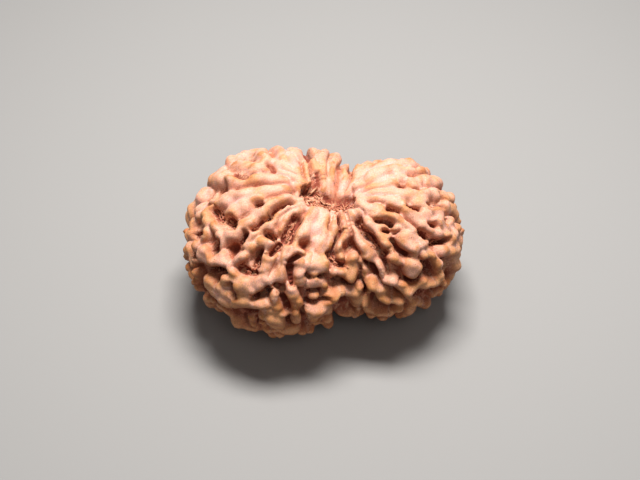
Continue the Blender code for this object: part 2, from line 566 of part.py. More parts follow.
def neighbour_mean(values, edges, pull):
    """Mean of each vertex's neighbours, weighted by each edge's pull."""
    total = np.zeros_like(values)
    weight = np.zeros(len(values))
    for here, there in ((0, 1), (1, 0)):
        np.add.at(total, edges[:, here], values[edges[:, there]] * pull[:, None])
        np.add.at(weight, edges[:, here], pull)
    return total / weight[:, None]


def round_cube(cells):
    """A cube of square cells blown up to the smooth body: the mesh, its places and its edges."""
    mesh = bmesh.new()
    bmesh.ops.create_cube(mesh, size=2)
    bmesh.ops.subdivide_edges(mesh, edges=mesh.edges[:], cuts=cells - 1, use_grid_fill=True)
    points = np.tan(np.array([v.co for v in mesh.verts]) * np.pi / 4)
    points *= np.array(BODY_HALF_SIZE) / np.linalg.norm(points, axis=1, keepdims=True)
    edges = np.array([[v.index for v in e.verts] for e in mesh.edges])
    points = onto_body(points, PROJECTION_ROUNDS + 1)
    for _ in range(EVENING_ROUNDS):
        mean = neighbour_mean(points, edges, np.ones(len(edges)))
        points = onto_body(points + EVENING_STEP * (mean - points), 1)
    return mesh, onto_body(points, PROJECTION_ROUNDS), edges


def drawn_to_walls(points, height, edges):
    """The same places on the body, moved closer together where the relief is steep."""
    one, other = edges.T
    across = np.linalg.norm(points[one] - points[other], axis=1)
    pull = 1 + (WALL_PULL * (height[one] - height[other]) / across) ** 2
    for _ in range(EVENING_ROUNDS):
        mean = neighbour_mean(points, edges, np.minimum(pull, WALL_LIMIT))
        points = onto_body(points + EVENING_STEP * (mean - points), 1)
    return onto_body(points, PROJECTION_ROUNDS)


def stone_mesh():
    """The whole stone, in metres, with its low tubercles cut flat."""
    mesh, points, edges = round_cube(CELLS)
    points = drawn_to_walls(points, surface_height(points), edges)
    height = surface_height(points)[:, None]
    for _ in range(ROUNDING_ROUNDS):
        height = neighbour_mean(height, edges, np.ones(len(edges)))
    points = points + slope(points) * height
    for vertex, place in zip(mesh.verts, points):
        vertex.co = place * METRES
    bmesh.ops.triangulate(mesh, faces=mesh.faces[:])
    data = bpy.data.meshes.new("rudraksha_stone")
    mesh.to_mesh(data)
    mesh.free()
    return data


def thinned(data, triangles):
    """The same shape with fewer triangles, where it bends least."""
    rough = bpy.data.objects.new("rough", data)
    bpy.context.scene.collection.objects.link(rough)
    decimate = rough.modifiers.new("decimate", "DECIMATE")
    decimate.ratio = triangles / len(data.polygons)
    graph = bpy.context.evaluated_depsgraph_get()
    thin = bpy.data.meshes.new_from_object(rough.evaluated_get(graph))
    bpy.data.objects.remove(rough)
    return thin


def cut_feet(data):
    """Cuts the lowest tubercles to one plane and sets the stone on it, centred."""
    mesh = bmesh.new()
    mesh.from_mesh(data)
    everything = mesh.verts[:] + mesh.edges[:] + mesh.faces[:]
    cut = bmesh.ops.bisect_plane(
        mesh, geom=everything, dist=1e-6,
        plane_co=(0, 0, FOOT_CUT * METRES), plane_no=(0, 0, -1), clear_outer=True,
    )
    rim = [e for e in cut["geom_cut"] if isinstance(e, bmesh.types.BMEdge)]
    bmesh.ops.holes_fill(mesh, edges=rim)
    bmesh.ops.triangulate(mesh, faces=[f for f in mesh.faces if len(f.verts) > 3])
    bmesh.ops.recalc_face_normals(mesh, faces=mesh.faces[:])
    places = np.array([v.co for v in mesh.verts])
    low, high = places.min(0), places.max(0)
    shift = (-(low[0] + high[0]) / 2, -(low[1] + high[1]) / 2, -low[2])
    bmesh.ops.translate(mesh, verts=mesh.verts[:], vec=shift)
    mesh.to_mesh(data)
    mesh.free()
    return data


def dry_shell_material():
    """Pale tan, dry and slightly waxy."""
    material = bpy.data.materials.new("stone")
    material.use_nodes = True
    shader = material.node_tree.nodes["Principled BSDF"]
    shader.inputs["Base Color"].default_value = (0.52, 0.27, 0.15, 1.0)
    shader.inputs["Roughness"].default_value = 0.6
    shader.inputs["Metallic"].default_value = 0.0
    return material


def main():
    for old in list(bpy.data.objects):
        bpy.data.objects.remove(old)
    data = cut_feet(thinned(stone_mesh(), TRIANGLES))
    data.name = "rudraksha_stone"
    data.shade_smooth()
    data.materials.append(dry_shell_material())
    stone = bpy.data.objects.new("rudraksha_stone", data)
    bpy.context.scene.collection.objects.link(stone)


main()
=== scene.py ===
"""Looks of the rudraksha stone: its fine relief, its shreds of dry fibre and its finish.

The relief repeats the frame's, finer, and adds seams, grain, torn husk and undercut knobs.
Lengths are in millimetres until a mesh is written out in metres.
"""

import bmesh
import bpy
import numpy as np
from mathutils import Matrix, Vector, noise


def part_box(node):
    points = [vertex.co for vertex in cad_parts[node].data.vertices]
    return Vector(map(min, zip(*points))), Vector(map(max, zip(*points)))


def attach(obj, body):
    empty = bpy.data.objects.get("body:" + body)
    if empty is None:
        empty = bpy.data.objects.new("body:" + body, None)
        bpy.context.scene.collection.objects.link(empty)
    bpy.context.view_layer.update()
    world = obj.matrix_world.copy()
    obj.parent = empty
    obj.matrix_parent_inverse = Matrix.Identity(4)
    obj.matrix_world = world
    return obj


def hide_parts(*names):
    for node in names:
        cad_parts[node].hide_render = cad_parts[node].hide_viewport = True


METRES = 0.001
NODE = "rudraksha_stone"

# Cells along a cube edge of the fine mesh, before relief
CELLS = 127

# Least length that is divided by
TINY = 1e-9

# Driving dimensions of the smooth body, under the relief: centres and half sizes
LEFT_LOBE = ((-4.6, -0.2, 0.0), (9.25, 9.8, 7.3))
RIGHT_LOBE = ((6.6, 0.2, -0.2), (7.2, 7.7, 7.1))
SHOULDERS = [
    ((-1.6, 4.4, 0.2), (4.2, 5.2, 6.2)),
    ((-6.2, 2.6, 1.2), (5.9, 5.9, 5.9)),
    ((8.2, 2.0, 1.2), (4.6, 4.6, 4.6)),
]
WAIST_BLEND = 3.2
SHOULDER_BLEND = 1.2
MOUTH_CENTRE = (0.4, 0.5)
FUNNEL_DEPTH = 1.5
FUNNEL_HALF_SIZE = (3.2, 1.8)
FUNNEL_FADE = 4.0
POLE_HEIGHT = 7.2

# The mouth in plan, as hollows side by side: centre, half size and the level of the husk that fills it
MOUTH_HOLLOWS = [
    ((-1.55, 0.0), (1.15, 1.95), 0.2), ((-0.3, -0.3), (1.1, 1.65), 0.25),
    ((1.0, -0.5), (1.0, 1.4), 0.3), ((2.15, -0.45), (1.4, 1.35), 0.25),
    ((-2.15, 0.95), (0.6, 0.45), -0.6),
]
MOUTH_RIM = 1.1
MOUTH_WALL = 0.25

# How the body's surface is found, the mesh spaced evenly over it and drawn to the relief's walls
NEAREST = 1.0
FARTHEST = 25.0
HALVINGS = 20
BODY_HALF_SIZE = (14.0, 10.0, 7.5)
PROJECTION_STEP = 0.9
PROJECTION_ROUNDS = 3
EVENING_ROUNDS = 8
EVENING_STEP = 0.6
WALL_PULL = 1.6
WALL_LIMIT = 8.0

# Relief
RIDGE_SMOOTHNESS = 8.0
RIB_REACH = 1.08
BAR_REACH = 1.0
BAR_RISE = 0.88
KNUCKLE_REACH = 1.08
KNUCKLE_RISE = 1.02
RIDGE_FULLNESS = 0.6
PIT_REACH = 0.9
CREASE_REACH = 1.1
PIT_WALL = 1.4
PIT_DROP = 0.5

# Unevenness of the crests (size, share at the top and lower down) and of the relief's edges,
# and how far the valleys between the ridges are filled, at the top and lower down
WAVE_COUNT = 14
WAVE_SPREAD = (0.7, 1.4)
WAVE_SCALE = 4.0
SWELL = (1.4, 0.09, 0.17)
SWELL_SEED = 4
SWELL_TOP = 7.0
FILL = (0.45, 0.1)
WAVER = (2.1, 0.11)
WAVER_SEEDS = (1, 2, 3)

# Ribs that fan out of the mouth, clockwise from the back: half width, height, path
MOUTH_RIBS = [
    (0.85, 1.1, [(152, 46), (144, 54), (137, 62), (134, 70)]),
    (0.8, 1.2, [(150, 36), (140, 44), (132, 52), (128, 60), (127, 70)]),
    (1.2, 1.05, [(163, 25), (155, 30), (142, 37), (131, 44), (122, 52), (118, 60), (116, 70)]),
    (0.5, 1.1, [(158, 18.5), (152, 22), (141, 25.5), (131, 29.5), (125, 34)]),
    (0.7, 0.85, [(116, 27), (113, 32), (109, 39), (105, 46), (104, 54), (103, 64)]),
    (0.75, 1.0, [(122, 13), (113, 18), (108, 24), (104, 31), (101, 38), (98, 46), (96, 54), (95, 64)]),
    (0.7, 0.95, [(100, 9), (90, 15), (87, 22), (88, 30), (90, 38), (88, 46), (86, 56)]),
    (0.65, 0.9, [(32, 19), (45, 24), (54, 30), (64, 37), (71, 43)]),
    (0.7, 1.05, [(18, 24), (29, 27), (38, 33), (45, 39), (50, 46), (55, 54)]),
    (0.75, 1.2, [(30, 34), (38, 40), (45, 48), (49, 57), (52, 66)]),
    (0.5, 1.2, [(34, 34), (39, 44), (43, 54), (45, 62)]),
    (0.9, 1.2, [(20, 31), (27, 38), (31, 46), (35, 54), (38, 64)]),
    (0.95, 1.1, [(13, 31), (16, 36), (18, 43)]),
    (0.9, 1.4, [(22, 38), (24, 48), (28, 57), (31, 66), (34, 76)]),
    (0.9, 1.0, [(4, 33), (6, 38), (9, 43), (15, 50)]),
    (1.0, 1.0, [(-6, 28), (-5, 33), (-5, 38), (-5, 44), (-3, 52), (-4, 57)]),
    (0.9, 1.1, [(-15, 28), (-14, 33), (-12, 38), (-12, 43), (-14, 49), (-17, 55), (-19, 60)]),
    (0.85, 1.1, [(-28, 28), (-27, 33), (-25, 38), (-23.5, 43), (-25, 49), (-27, 55), (-28, 61), (-28, 66)]),
    (0.55, 1.15, [(-38, 34), (-32, 38), (-28.5, 43), (-28, 48), (-30.5, 52)]),
    (0.7, 0.95, [(-38, 26), (-38, 31), (-38, 35), (-40, 39), (-41, 44)]),
    (0.95, 1.05, [(-46, 23), (-48, 29), (-50, 34), (-54, 40), (-55.5, 47), (-55, 54), (-55, 59)]),
    (0.8, 1.05, [(-62, 21), (-64, 28), (-66, 34), (-70, 40), (-74, 45), (-78, 49)]),
    (0.75, 1.05, [(-83, 23), (-82, 30), (-84, 37), (-88, 42), (-95, 44)]),
    (0.75, 1.1, [(-103, 22), (-101, 30), (-100, 38), (-100, 46), (-99, 53)]),
    (0.8, 0.75, [(-112, 25), (-110, 34), (-108, 43), (-105, 52)]),
    (0.95, 1.1, [(-124, 28), (-121, 36), (-118.5, 44), (-119.5, 51), (-121, 58), (-121, 67)]),
    (0.55, 1.0, [(-136, 29), (-138.5, 36), (-138, 42), (-134, 46)]),
    (0.8, 1.15, [(-145, 29), (-143, 36), (-143, 42), (-144, 48), (-143.5, 55), (-143, 61)]),
    (0.3, 0.8, [(-146.5, 36), (-147.5, 42)]),
    (0.95, 1.2, [(-159, 33), (-157.5, 37), (-155.5, 41), (-153, 48), (-152, 55), (-152.5, 61), (-154, 67)]),
    (1.05, 1.15, [(-176, 34), (-176, 39), (-175, 44), (-176, 51), (-177, 58), (-177, 66), (-179, 74)]),
    (0.95, 1.0, [(171, 34), (169, 38), (169, 44), (172, 52)]),
    (0.9, 0.95, [(157, 32), (152, 36), (149, 42), (150, 50)]),
    (0.9, 0.95, [(164, 34), (161, 39), (161, 46), (158, 54), (156, 62)]),
]

# Bulges, loops and knobs on the left lobe, from the top round to the front
LEFT_RELIEF = [
    (1.0, 1.25, [(139, 64), (145, 66), (151, 67)]),
    (1.0, 1.1, [(146, 72), (156, 70)]),
    (1.3, 1.25, [(170, 57), (167, 64)]),
    (1.1, 1.1, [(163, 66), (158, 74), (156, 82)]),
    (1.5, 1.3, [(171, 75), (173, 85)]),
    (1.1, 1.0, [(-172, 40), (-167, 46), (-168, 53), (-166, 57)]),
    (0.7, 1.0, [(-164, 44), (-162, 40)]),
    (0.75, 1.15, [(-178, 74), (-174, 70), (-169, 69), (-164, 66.5), (-158, 66)]),
    (0.9, 1.1, [(-177, 79), (-174, 84), (-171, 80)]),
    (0.9, 1.2, [(-164, 72), (-163, 77), (-163, 82)]),
    (0.45, 1.35, [(-178, 85), (-180, 87)]),
    (0.6, 1.2, [(-170, 87), (-171, 91)]),
    (0.75, 1.15, [(-168, 83), (-163, 86)]),
    (0.55, 1.2, [(-164, 90), (-160, 91)]),
    (0.5, 1.2, [(-157, 86), (-157, 90)]),
    (1.0, 1.3, [(-158, 76.5), (-152, 75), (-147, 71.5)]),
    (0.95, 1.3, [(-148, 83.5), (-145, 85)]),
    (0.5, 1.15, [(-151, 95), (-146, 92)]),
    (0.65, 1.2, [(-138.5, 56), (-140, 60), (-140.5, 65)]),
    (0.7, 1.15, [(-141.5, 65.5), (-142.5, 68), (-144, 71)]),
    (0.75, 1.2, [(-133, 54.5), (-129.5, 60), (-128.5, 66)]),
    (0.6, 1.0, [(-137, 55), (-133, 56)]),
    (0.6, 1.0, [(-125, 52), (-126.5, 58), (-127, 65)]),
    (0.8, 1.2, [(-142, 74), (-142, 80), (-141, 86), (-138, 87)]),
    (1.0, 1.2, [(-139, 74), (-133, 75), (-128, 72), (-125, 69)]),
    (1.4, 1.1, [(-134, 77), (-132, 82)]),
    (1.1, 1.05, [(-139.5, 77), (-138.5, 83)]),
    (0.7, 1.2, [(-138, 85.5), (-134, 84.5)]),
    (0.85, 1.3, [(-130, 82.5), (-127, 81), (-123.5, 80)]),
    (0.6, 1.2, [(-124.5, 69.5), (-126.5, 73), (-129, 76)]),
    (0.6, 1.1, [(-142, 92), (-136, 97), (-131, 103)]),
    (0.5, 1.1, [(-128, 88), (-127, 94), (-127, 98)]),
    (0.4, 1.0, [(-123, 94), (-123, 100)]),
]

# The knobby front, below the mouth's ribs
FRONT_RELIEF = [
    (1.1, 1.35, [(-120, 86.5), (-115, 87.5), (-116.5, 92)]),
    (0.8, 1.2, [(-120, 98), (-114, 99)]),
    (0.65, 1.15, [(-108, 85.5), (-108.5, 91)]),
    (0.75, 1.25, [(-120.5, 72.5), (-118.5, 76.5), (-116.5, 80.5)]),
    (0.7, 1.25, [(-114, 55), (-112, 59.5), (-110, 64), (-108.5, 68)]),
    (0.7, 1.2, [(-112.5, 71.5), (-111, 75), (-108.5, 80), (-107, 83)]),
    (1.0, 1.35, [(-106, 58.5), (-101, 59), (-96, 58.5)]),
    (0.8, 1.1, [(-101, 62), (-101.5, 65)]),
    (1.0, 0.85, [(-101.5, 70), (-98, 70.5)]),
    (0.55, 0.9, [(-100.5, 76.5)]),
    (0.5, 0.95, [(-95, 72), (-91.5, 77)]),
    (0.9, 1.3, [(-103, 85.5), (-98, 86.5), (-94, 83), (-91.5, 80)]),
    (0.8, 1.3, [(-99.5, 86), (-100, 91)]),
    (0.6, 1.2, [(-93, 84), (-93.5, 89)]),
    (0.65, 1.2, [(-80, 50.5), (-81, 56)]),
    (0.9, 1.25, [(-69, 57), (-72, 65), (-74, 71.5)]),
    (0.8, 1.1, [(-88, 64), (-81, 66), (-74, 68.5)]),
    (0.9, 1.2, [(-85, 80), (-78, 81), (-72, 84), (-70, 92)]),
    (0.7, 1.15, [(-66.5, 79), (-68.5, 86)]),
    (0.45, 0.85, [(-63.5, 62), (-61.5, 68), (-62, 75)]),
    (0.4, 1.35, [(-68, 99), (-68, 106), (-68, 113)]),
    (0.6, 1.0, [(-58, 107), (-53, 108)]),
]

# Loops, bars and knobs on the right lobe, from the front round to the back
RIGHT_RELIEF = [
    (0.65, 1.3, [(-63, 84), (-63.5, 90), (-62, 97), (-57, 101.5), (-51, 101), (-48, 96), (-48.5, 89)]),
    (0.8, 1.4, [(-58.5, 77), (-54.5, 82.5), (-52, 87)]),
    (0.45, 1.1, [(-54, 60.5), (-52.5, 66), (-52, 71), (-52, 75)]),
    (0.55, 1.3, [(-43.5, 57), (-44, 61), (-43.5, 65)]),
    (0.45, 1.0, [(-43, 67), (-40, 70)]),
    (0.7, 1.4, [(-49, 75), (-46.5, 80), (-44, 85)]),
    (0.5, 1.2, [(-43, 88), (-41.5, 94), (-42, 100)]),
    (0.45, 1.2, [(-41.5, 104), (-41, 108)]),
    (0.9, 1.05, [(-41, 45), (-39.5, 51), (-41, 56)]),
    (1.05, 1.5, [(-33, 60.5), (-34.5, 65)]),
    (0.85, 1.4, [(-38.5, 71), (-38.3, 74)]),
    (0.7, 1.1, [(-42, 83), (-36, 84), (-31, 86)]),
    (0.65, 1.25, [(-29, 67), (-28.3, 73), (-27.5, 79), (-29, 85)]),
    (0.75, 1.3, [(-29.8, 70)]),
    (0.35, 1.0, [(-26, 89), (-25, 92)]),
    (0.5, 0.95, [(-40, 94), (-38, 98)]),
    (0.6, 1.1, [(-30, 97), (-26, 97)]),
    (0.6, 1.1, [(-22, 96), (-20, 100)]),
    (0.8, 1.1, [(-22, 75), (-18, 79)]),
    (0.6, 1.1, [(-20, 64), (-18, 68), (-14.5, 73)]),
    (0.7, 1.1, [(-14, 65), (-12, 71), (-9, 77)]),
    (1.1, 1.0, [(-10, 56), (-11, 61), (-9, 66)]),
    (1.15, 1.15, [(-14, 77), (-14, 84), (-14, 92), (-13, 100)]),
    (0.9, 1.0, [(-6, 74), (-4, 81), (-3, 89), (-2, 97)]),
    (0.4, 1.25, [(0, 86), (0, 89)]),
    (0.85, 1.1, [(0, 69), (3, 75), (5, 83)]),
    (0.8, 1.15, [(1, 58), (4, 63), (7, 70), (11, 77), (16, 86)]),
    (0.9, 1.2, [(8, 53), (11, 60), (15, 66), (19, 72), (23, 80)]),
    (0.65, 1.2, [(19, 50), (21, 57), (22, 63), (26, 71)]),
]

# Pits and slots: half width, depth under the smooth body (less than 0 for a raised floor), path
PITS = [
    (0.5, 0.4, [(113, 39), (111, 48), (109, 60), (108, 68)]),
    (0.45, -0.7, [(131, 19), (121, 22.5), (115, 27)]),
    (0.5, 0.8, [(-149.5, 33), (-150, 38), (-149.5, 43), (-147.5, 46)]),
    (0.6, 1.0, [(-138.5, 51.5), (-134.5, 52)]),
    (0.95, 0.35, [(-131, 38), (-129, 44), (-126, 49)]),
    (0.5, 0.1, [(-128, 53), (-129, 59)]),
    (0.5, 0.1, [(-148, 49), (-147.5, 54)]),
    (0.5, 1.0, [(-147.5, 58), (-147, 61.5)]),
    (0.75, 1.2, [(-162, 46), (-160, 46.5)]),
    (0.65, 1.0, [(-163, 60.5), (-159.5, 59.5), (-156, 60)]),
    (0.6, 0.2, [(-174, 66), (-170, 64.5), (-166, 63)]),
    (0.55, 1.1, [(-169.5, 77.5), (-167, 75), (-165, 73)]),
    (0.75, 1.1, [(-155.5, 69), (-154.5, 72)]),
    (0.4, 0.4, [(-164, 82), (-160, 81)]),
    (0.5, 0.7, [(-150.5, 78.5), (-147, 76.5), (-143, 74.5)]),
    (0.55, 0.9, [(-135, 60), (-133.5, 63), (-132.5, 65.5)]),
    (0.6, 0.2, [(-138.5, 70), (-135, 70), (-131.5, 69)]),
    (0.5, 0.5, [(-137.5, 78), (-135.5, 81)]),
    (0.5, 0.7, [(-127, 78.5), (-124.5, 76.5), (-122.5, 74)]),
    (0.5, 0.4, [(-139, 90.5), (-132, 89.5), (-126, 86.5)]),
    (0.4, 0.3, [(-114.5, 56.5), (-116.5, 59.5)]),
    (0.45, 0.8, [(-115.8, 62), (-114.5, 65.5), (-113, 70)]),
    (0.5, 0.2, [(-119.5, 72), (-116.5, 73)]),
    (0.6, 0.8, [(-115, 76), (-114, 79.5), (-113, 83)]),
    (0.35, 0.35, [(-106.5, 65), (-104, 67)]),
    (0.35, 0.3, [(-99, 66), (-96, 65)]),
    (0.35, 0.4, [(-103, 73.7), (-97, 74)]),
    (0.35, 0.4, [(-104, 79.5), (-99, 81), (-94, 79.5)]),
    (0.4, 0.7, [(-106, 82), (-105.5, 87), (-105, 92)]),
    (0.4, 0.6, [(-112.5, 87), (-112, 93)]),
    (0.5, 0.5, [(-131, 94.5), (-129, 98)]),
    (0.35, 0.5, [(-125.5, 94), (-124.5, 99)]),
    (0.5, 0.4, [(-98, 92.5), (-93, 93)]),
    (0.5, -0.3, [(-93.5, 52), (-92.5, 57), (-91.5, 62)]),
    (0.75, -0.3, [(-88, 55), (-86, 60), (-80, 61)]),
    (0.4, 0.6, [(-88, 68.5), (-83, 71.5), (-79, 74.5), (-73, 77), (-67, 75)]),
    (1.1, 0.4, [(-86, 88), (-80, 94)]),
    (0.35, 0.3, [(-73.5, 24), (-72, 30), (-75, 37), (-80, 42), (-87, 47), (-89, 53)]),
    (0.45, 0.6, [(-58.5, 63), (-56.5, 66), (-55.5, 71)]),
    (0.4, 0.5, [(-48.5, 62), (-49, 67), (-50, 72)]),
    (0.35, 0.5, [(-65, 74), (-63.5, 79), (-65, 84)]),
    (0.75, 0.5, [(-58, 90), (-56, 94.5), (-52, 94)]),
    (0.7, 0.8, [(-46.5, 38), (-47.5, 45), (-47.5, 52), (-47, 58), (-46.5, 61)]),
    (0.45, 0.7, [(-33, 44.5), (-31.5, 47), (-31, 50)]),
    (0.3, 0.5, [(-38, 50), (-36, 52)]),
    (0.45, 0.6, [(-38.5, 57), (-39, 61), (-37.5, 66)]),
    (0.5, 0.6, [(-20.5, 44.5), (-20, 48)]),
    (0.35, 0.25, [(3, 47.5), (5, 48)]),
    (0.3, 0.5, [(2, 54), (2.5, 57)]),
    (0.5, 0.9, [(-7.5, 60.5), (-6, 62)]),
    (0.3, 0.4, [(-3.5, 65), (-2.5, 66.5)]),
    (0.3, 0.3, [(4, 65), (3, 68)]),
    (0.45, 0.15, [(-12.5, 51.5), (-13.5, 55.5)]),
    (0.5, 0.9, [(-24, 61.5), (-23, 64.5)]),
    (0.45, 0.4, [(-17.5, 63.5), (-15.5, 65.5)]),
    (0.35, 0.2, [(-10, 70), (-6, 71.5)]),
    (0.55, 0.2, [(-23, 69.5), (-19.5, 72), (-16, 74)]),
    (0.75, 0.5, [(-23, 82), (-22.5, 88)]),
    (0.6, 0.8, [(-31, 74), (-32, 78.5)]),
    (0.35, 0.5, [(-46, 77), (-41, 79.5), (-36, 80)]),
    (0.6, 0.3, [(-40, 89), (-35, 92)]),
    (0.6, -0.7, [(154, 44), (157, 41.5), (160, 40)]),
    (0.7, -0.6, [(165.5, 56), (168, 53), (170, 50.5)]),
]

# Creases and hollows that only dent the ribs: half width, drop, path
CREASES = [
    (0.3, 0.45, [(150, 17), (145, 19.5), (129, 24.5), (120, 31), (117, 37)]),
    (0.25, 0.4, [(155, 22), (151, 26), (141, 30), (132, 34), (127, 38)]),
    (0.22, 0.2, [(107, 36), (103, 44), (101, 52), (100, 62)]),
    (0.3, 0.25, [(118, 12), (102, 20), (98, 28), (96, 36), (93, 46), (91, 56)]),
    (0.3, 0.25, [(66, 12), (77, 18), (82, 29), (86, 38), (89, 46)]),
    (0.3, 0.35, [(25, 20), (37, 25), (46, 31), (55, 38), (61, 46)]),
    (0.25, 0.15, [(24, 30), (34, 36), (42, 44), (49, 54)]),
    (0.25, 0.15, [(33, 27), (37, 36), (40, 44)]),
    (0.3, 0.15, [(25, 28), (25, 37), (26, 44), (29, 52)]),
    (0.3, 0.2, [(12, 29), (13, 37), (17, 43), (19, 47)]),
    (0.4, 0.2, [(4, 48), (10, 48), (13, 46)]),
    (0.3, 0.25, [(26, 58), (20, 57), (17, 55)]),
    (0.3, 0.25, [(17, 57), (13, 59), (7, 58)]),
    (0.3, 0.2, [(0, 30), (0, 38), (-1, 45)]),
    (0.3, 0.2, [(-10, 30), (-9, 38), (-9, 45), (-10, 51)]),
    (0.25, 0.4, [(-19, 36), (-19, 42)]),
    (0.25, 0.4, [(-21.5, 48), (-22.5, 54), (-24, 60), (-26, 66), (-27, 70)]),
    (0.3, 0.4, [(-36, 27), (-36, 34), (-38, 38)]),
    (0.4, 0.5, [(-55, 28), (-59, 35), (-61, 42), (-63, 49), (-61, 56)]),
    (0.3, 0.2, [(-54.5, 44.5), (-53, 46)]),
    (0.3, 0.3, [(-92, 23), (-92, 30), (-93, 37)]),
    (0.3, 0.5, [(-131, 30), (-130, 37)]),
    (0.35, 0.4, [(-129, 53), (-124, 60), (-124, 68)]),
    (0.35, 0.5, [(-141, 33), (-141, 40), (-139, 46)]),
    (0.4, 0.3, [(-168, 30), (-166, 36), (-164, 42)]),
    (0.45, 0.35, [(178, 29), (177, 38), (178, 46), (179, 54)]),
    (0.8, 0.75, [(173, 60), (176, 63.5)]),
    (0.6, 0.25, [(-179, 59), (-178, 63)]),
    (0.35, 0.45, [(-177, 65), (-178, 68)]),
    (0.4, 0.35, [(163, 33), (164, 42), (168, 50)]),
    (0.35, 0.3, [(171, 50), (167, 48)]),
    (0.45, 0.3, [(151, 50), (152, 53)]),
    (0.45, 0.5, [(150, 58), (154, 61)]),
    (0.35, 0.3, [(156, 31), (154, 38)]),
    (0.3, 0.35, [(-110.5, 77), (-109, 81.5)]),
    (0.3, 0.4, [(-151, 92), (-146, 89)]),
    (0.3, 0.4, [(-120, 95.5), (-114, 95)]),
    (0.9, 0.7, [(-113.5, 48), (-111, 49)]),
    (0.9, 0.8, [(-73, 52), (-67, 50)]),
    (0.8, 0.8, [(-147.5, 65), (-147, 68)]),
]

# Seams between the stone's faces, by longitude
SEAMS = [-179, -161, -143, -121, -104.5, -87, -66.5, -50, -30, -11, 8, 27, 46, 64, 86, 106, 126, 146, 164]

# Polar angle at which the relief above ends, by longitude; below it the net is grown by rule
GROWN_FROM = [
    (-180, 93), (-165, 93), (-150, 98), (-140, 99), (-120, 104), (-100, 95), (-85, 101), (-68, 117),
    (-55, 109), (-42, 111), (-30, 102), (-15, 104), (0, 91), (10, 82), (20, 80), (30, 74), (45, 64),
    (60, 58), (90, 63), (115, 70), (130, 71), (150, 74), (165, 84), (180, 93),
]
GROWN_TO = 166
GROWN_STEP = 1.65
GROWN_SEED = 11

# The grown knobs, the bars down to the next row and the links along a row
FIRST_ROW_STRAY = 6.0
KNOB_STRAY = (0.2, 4.0)
KNOB_WIDTH = (0.5, 0.85)
KNOB_HEIGHT = (0.9, 1.4)
BAR_CHANCE = 0.75
BAR_WIDTH = (0.45, 0.6)
BAR_HEIGHT = (0.6, 0.95)
LINK_CHANCE = 0.4
LINK_WIDTH = 0.45
LINK_HEIGHT = 0.8

# Low tubercles that the stone rests on (longitude, polar angle) and the level that they end at
FEET = [(-143, 138.5), (148, 139), (-28, 135), (22, 135.5)]
FOOT_WIDTH = 1.35
FOOT_BULGE = 0.4
FOOT_CUT = -8.15


def unit(vectors):
    """The same directions, 1 long."""
    return vectors / np.linalg.norm(vectors, axis=-1, keepdims=True)


def ellipsoid(points, centre, half):
    """Distance to an ellipsoid, to first order."""
    half = np.array(half)
    q = (points - np.array(centre)) / half
    k0 = np.linalg.norm(q, axis=-1)
    k1 = np.linalg.norm(q / half, axis=-1)
    return k0 * (k0 - 1) / np.maximum(k1, TINY)


def blended(a, b, k):
    """Union of two distances with a fillet k wide."""
    h = np.clip(0.5 + 0.5 * (b - a) / k, 0, 1)
    return b * (1 - h) + a * h - k * h * (1 - h)


def body(points):
    """Distance to the smooth body, negative inside."""
    d = blended(ellipsoid(points, *LEFT_LOBE), ellipsoid(points, *RIGHT_LOBE), WAIST_BLEND)
    for shoulder in SHOULDERS:
        d = blended(d, ellipsoid(points, *shoulder), SHOULDER_BLEND)
    for side in (1, -1):
        across = (points[..., :2] - np.array(MOUTH_CENTRE)) / np.array(FUNNEL_HALF_SIZE)
        along = (points[..., 2] - side * POLE_HEIGHT) / POLE_HEIGHT
        d = d + FUNNEL_DEPTH * np.exp(-(across**2).sum(-1) - FUNNEL_FADE * along**2)
    return d


def slope(points, step=0.05):
    """Outward direction of the smooth body, unit length."""
    corners = np.array([(1, -1, -1), (-1, -1, 1), (-1, 1, -1), (1, 1, 1)])
    return unit(sum(body(points + step * corner)[..., None] * corner for corner in corners))


def on_body(angles):
    """Points of the smooth body at (longitude, polar angle) pairs in degrees."""
    lon, polar = np.radians(np.array(angles, float)).T
    ray = np.stack([np.cos(lon) * np.sin(polar), np.sin(lon) * np.sin(polar), np.cos(polar)], -1)
    start = np.array([*MOUTH_CENTRE, 0.0])
    near, far = np.full(len(ray), NEAREST), np.full(len(ray), FARTHEST)
    for _ in range(HALVINGS):
        middle = (near + far) / 2
        inside = body(start + ray * middle[:, None]) < 0
        near, far = np.where(inside, middle, near), np.where(inside, far, middle)
    return start + ray * near[:, None]


def smooth_path(angles, spacing=0.4):
    """A curve on the body through the given places, as points about spacing apart."""
    knots = on_body(angles)
    if len(knots) == 1:
        return knots
    ends = np.vstack([2 * knots[0] - knots[1], knots, 2 * knots[-1] - knots[-2]])
    out = []
    for a, b, c, d in zip(ends, ends[1:], ends[2:], ends[3:]):
        for t in np.arange(0, 1, spacing / max(spacing, np.linalg.norm(c - b))):
            out.append(
                0.5 * (2 * b + (c - a) * t + (2 * a - 5 * b + 4 * c - d) * t**2
                       + (3 * b - a - 3 * c + d) * t**3)
            )
    return np.array([*out, knots[-1]])


def gap_to_path(points, path):
    """Distance from each point to a polyline."""
    if len(path) == 1:
        return np.linalg.norm(points - path[0], axis=1)
    best = np.full(len(points), np.inf)
    for a, b in zip(path, path[1:]):
        along = b - a
        t = np.clip((points - a) @ along / (along @ along), 0, 1)
        best = np.minimum(best, np.linalg.norm(points - a - t[:, None] * along, axis=1))
    return best


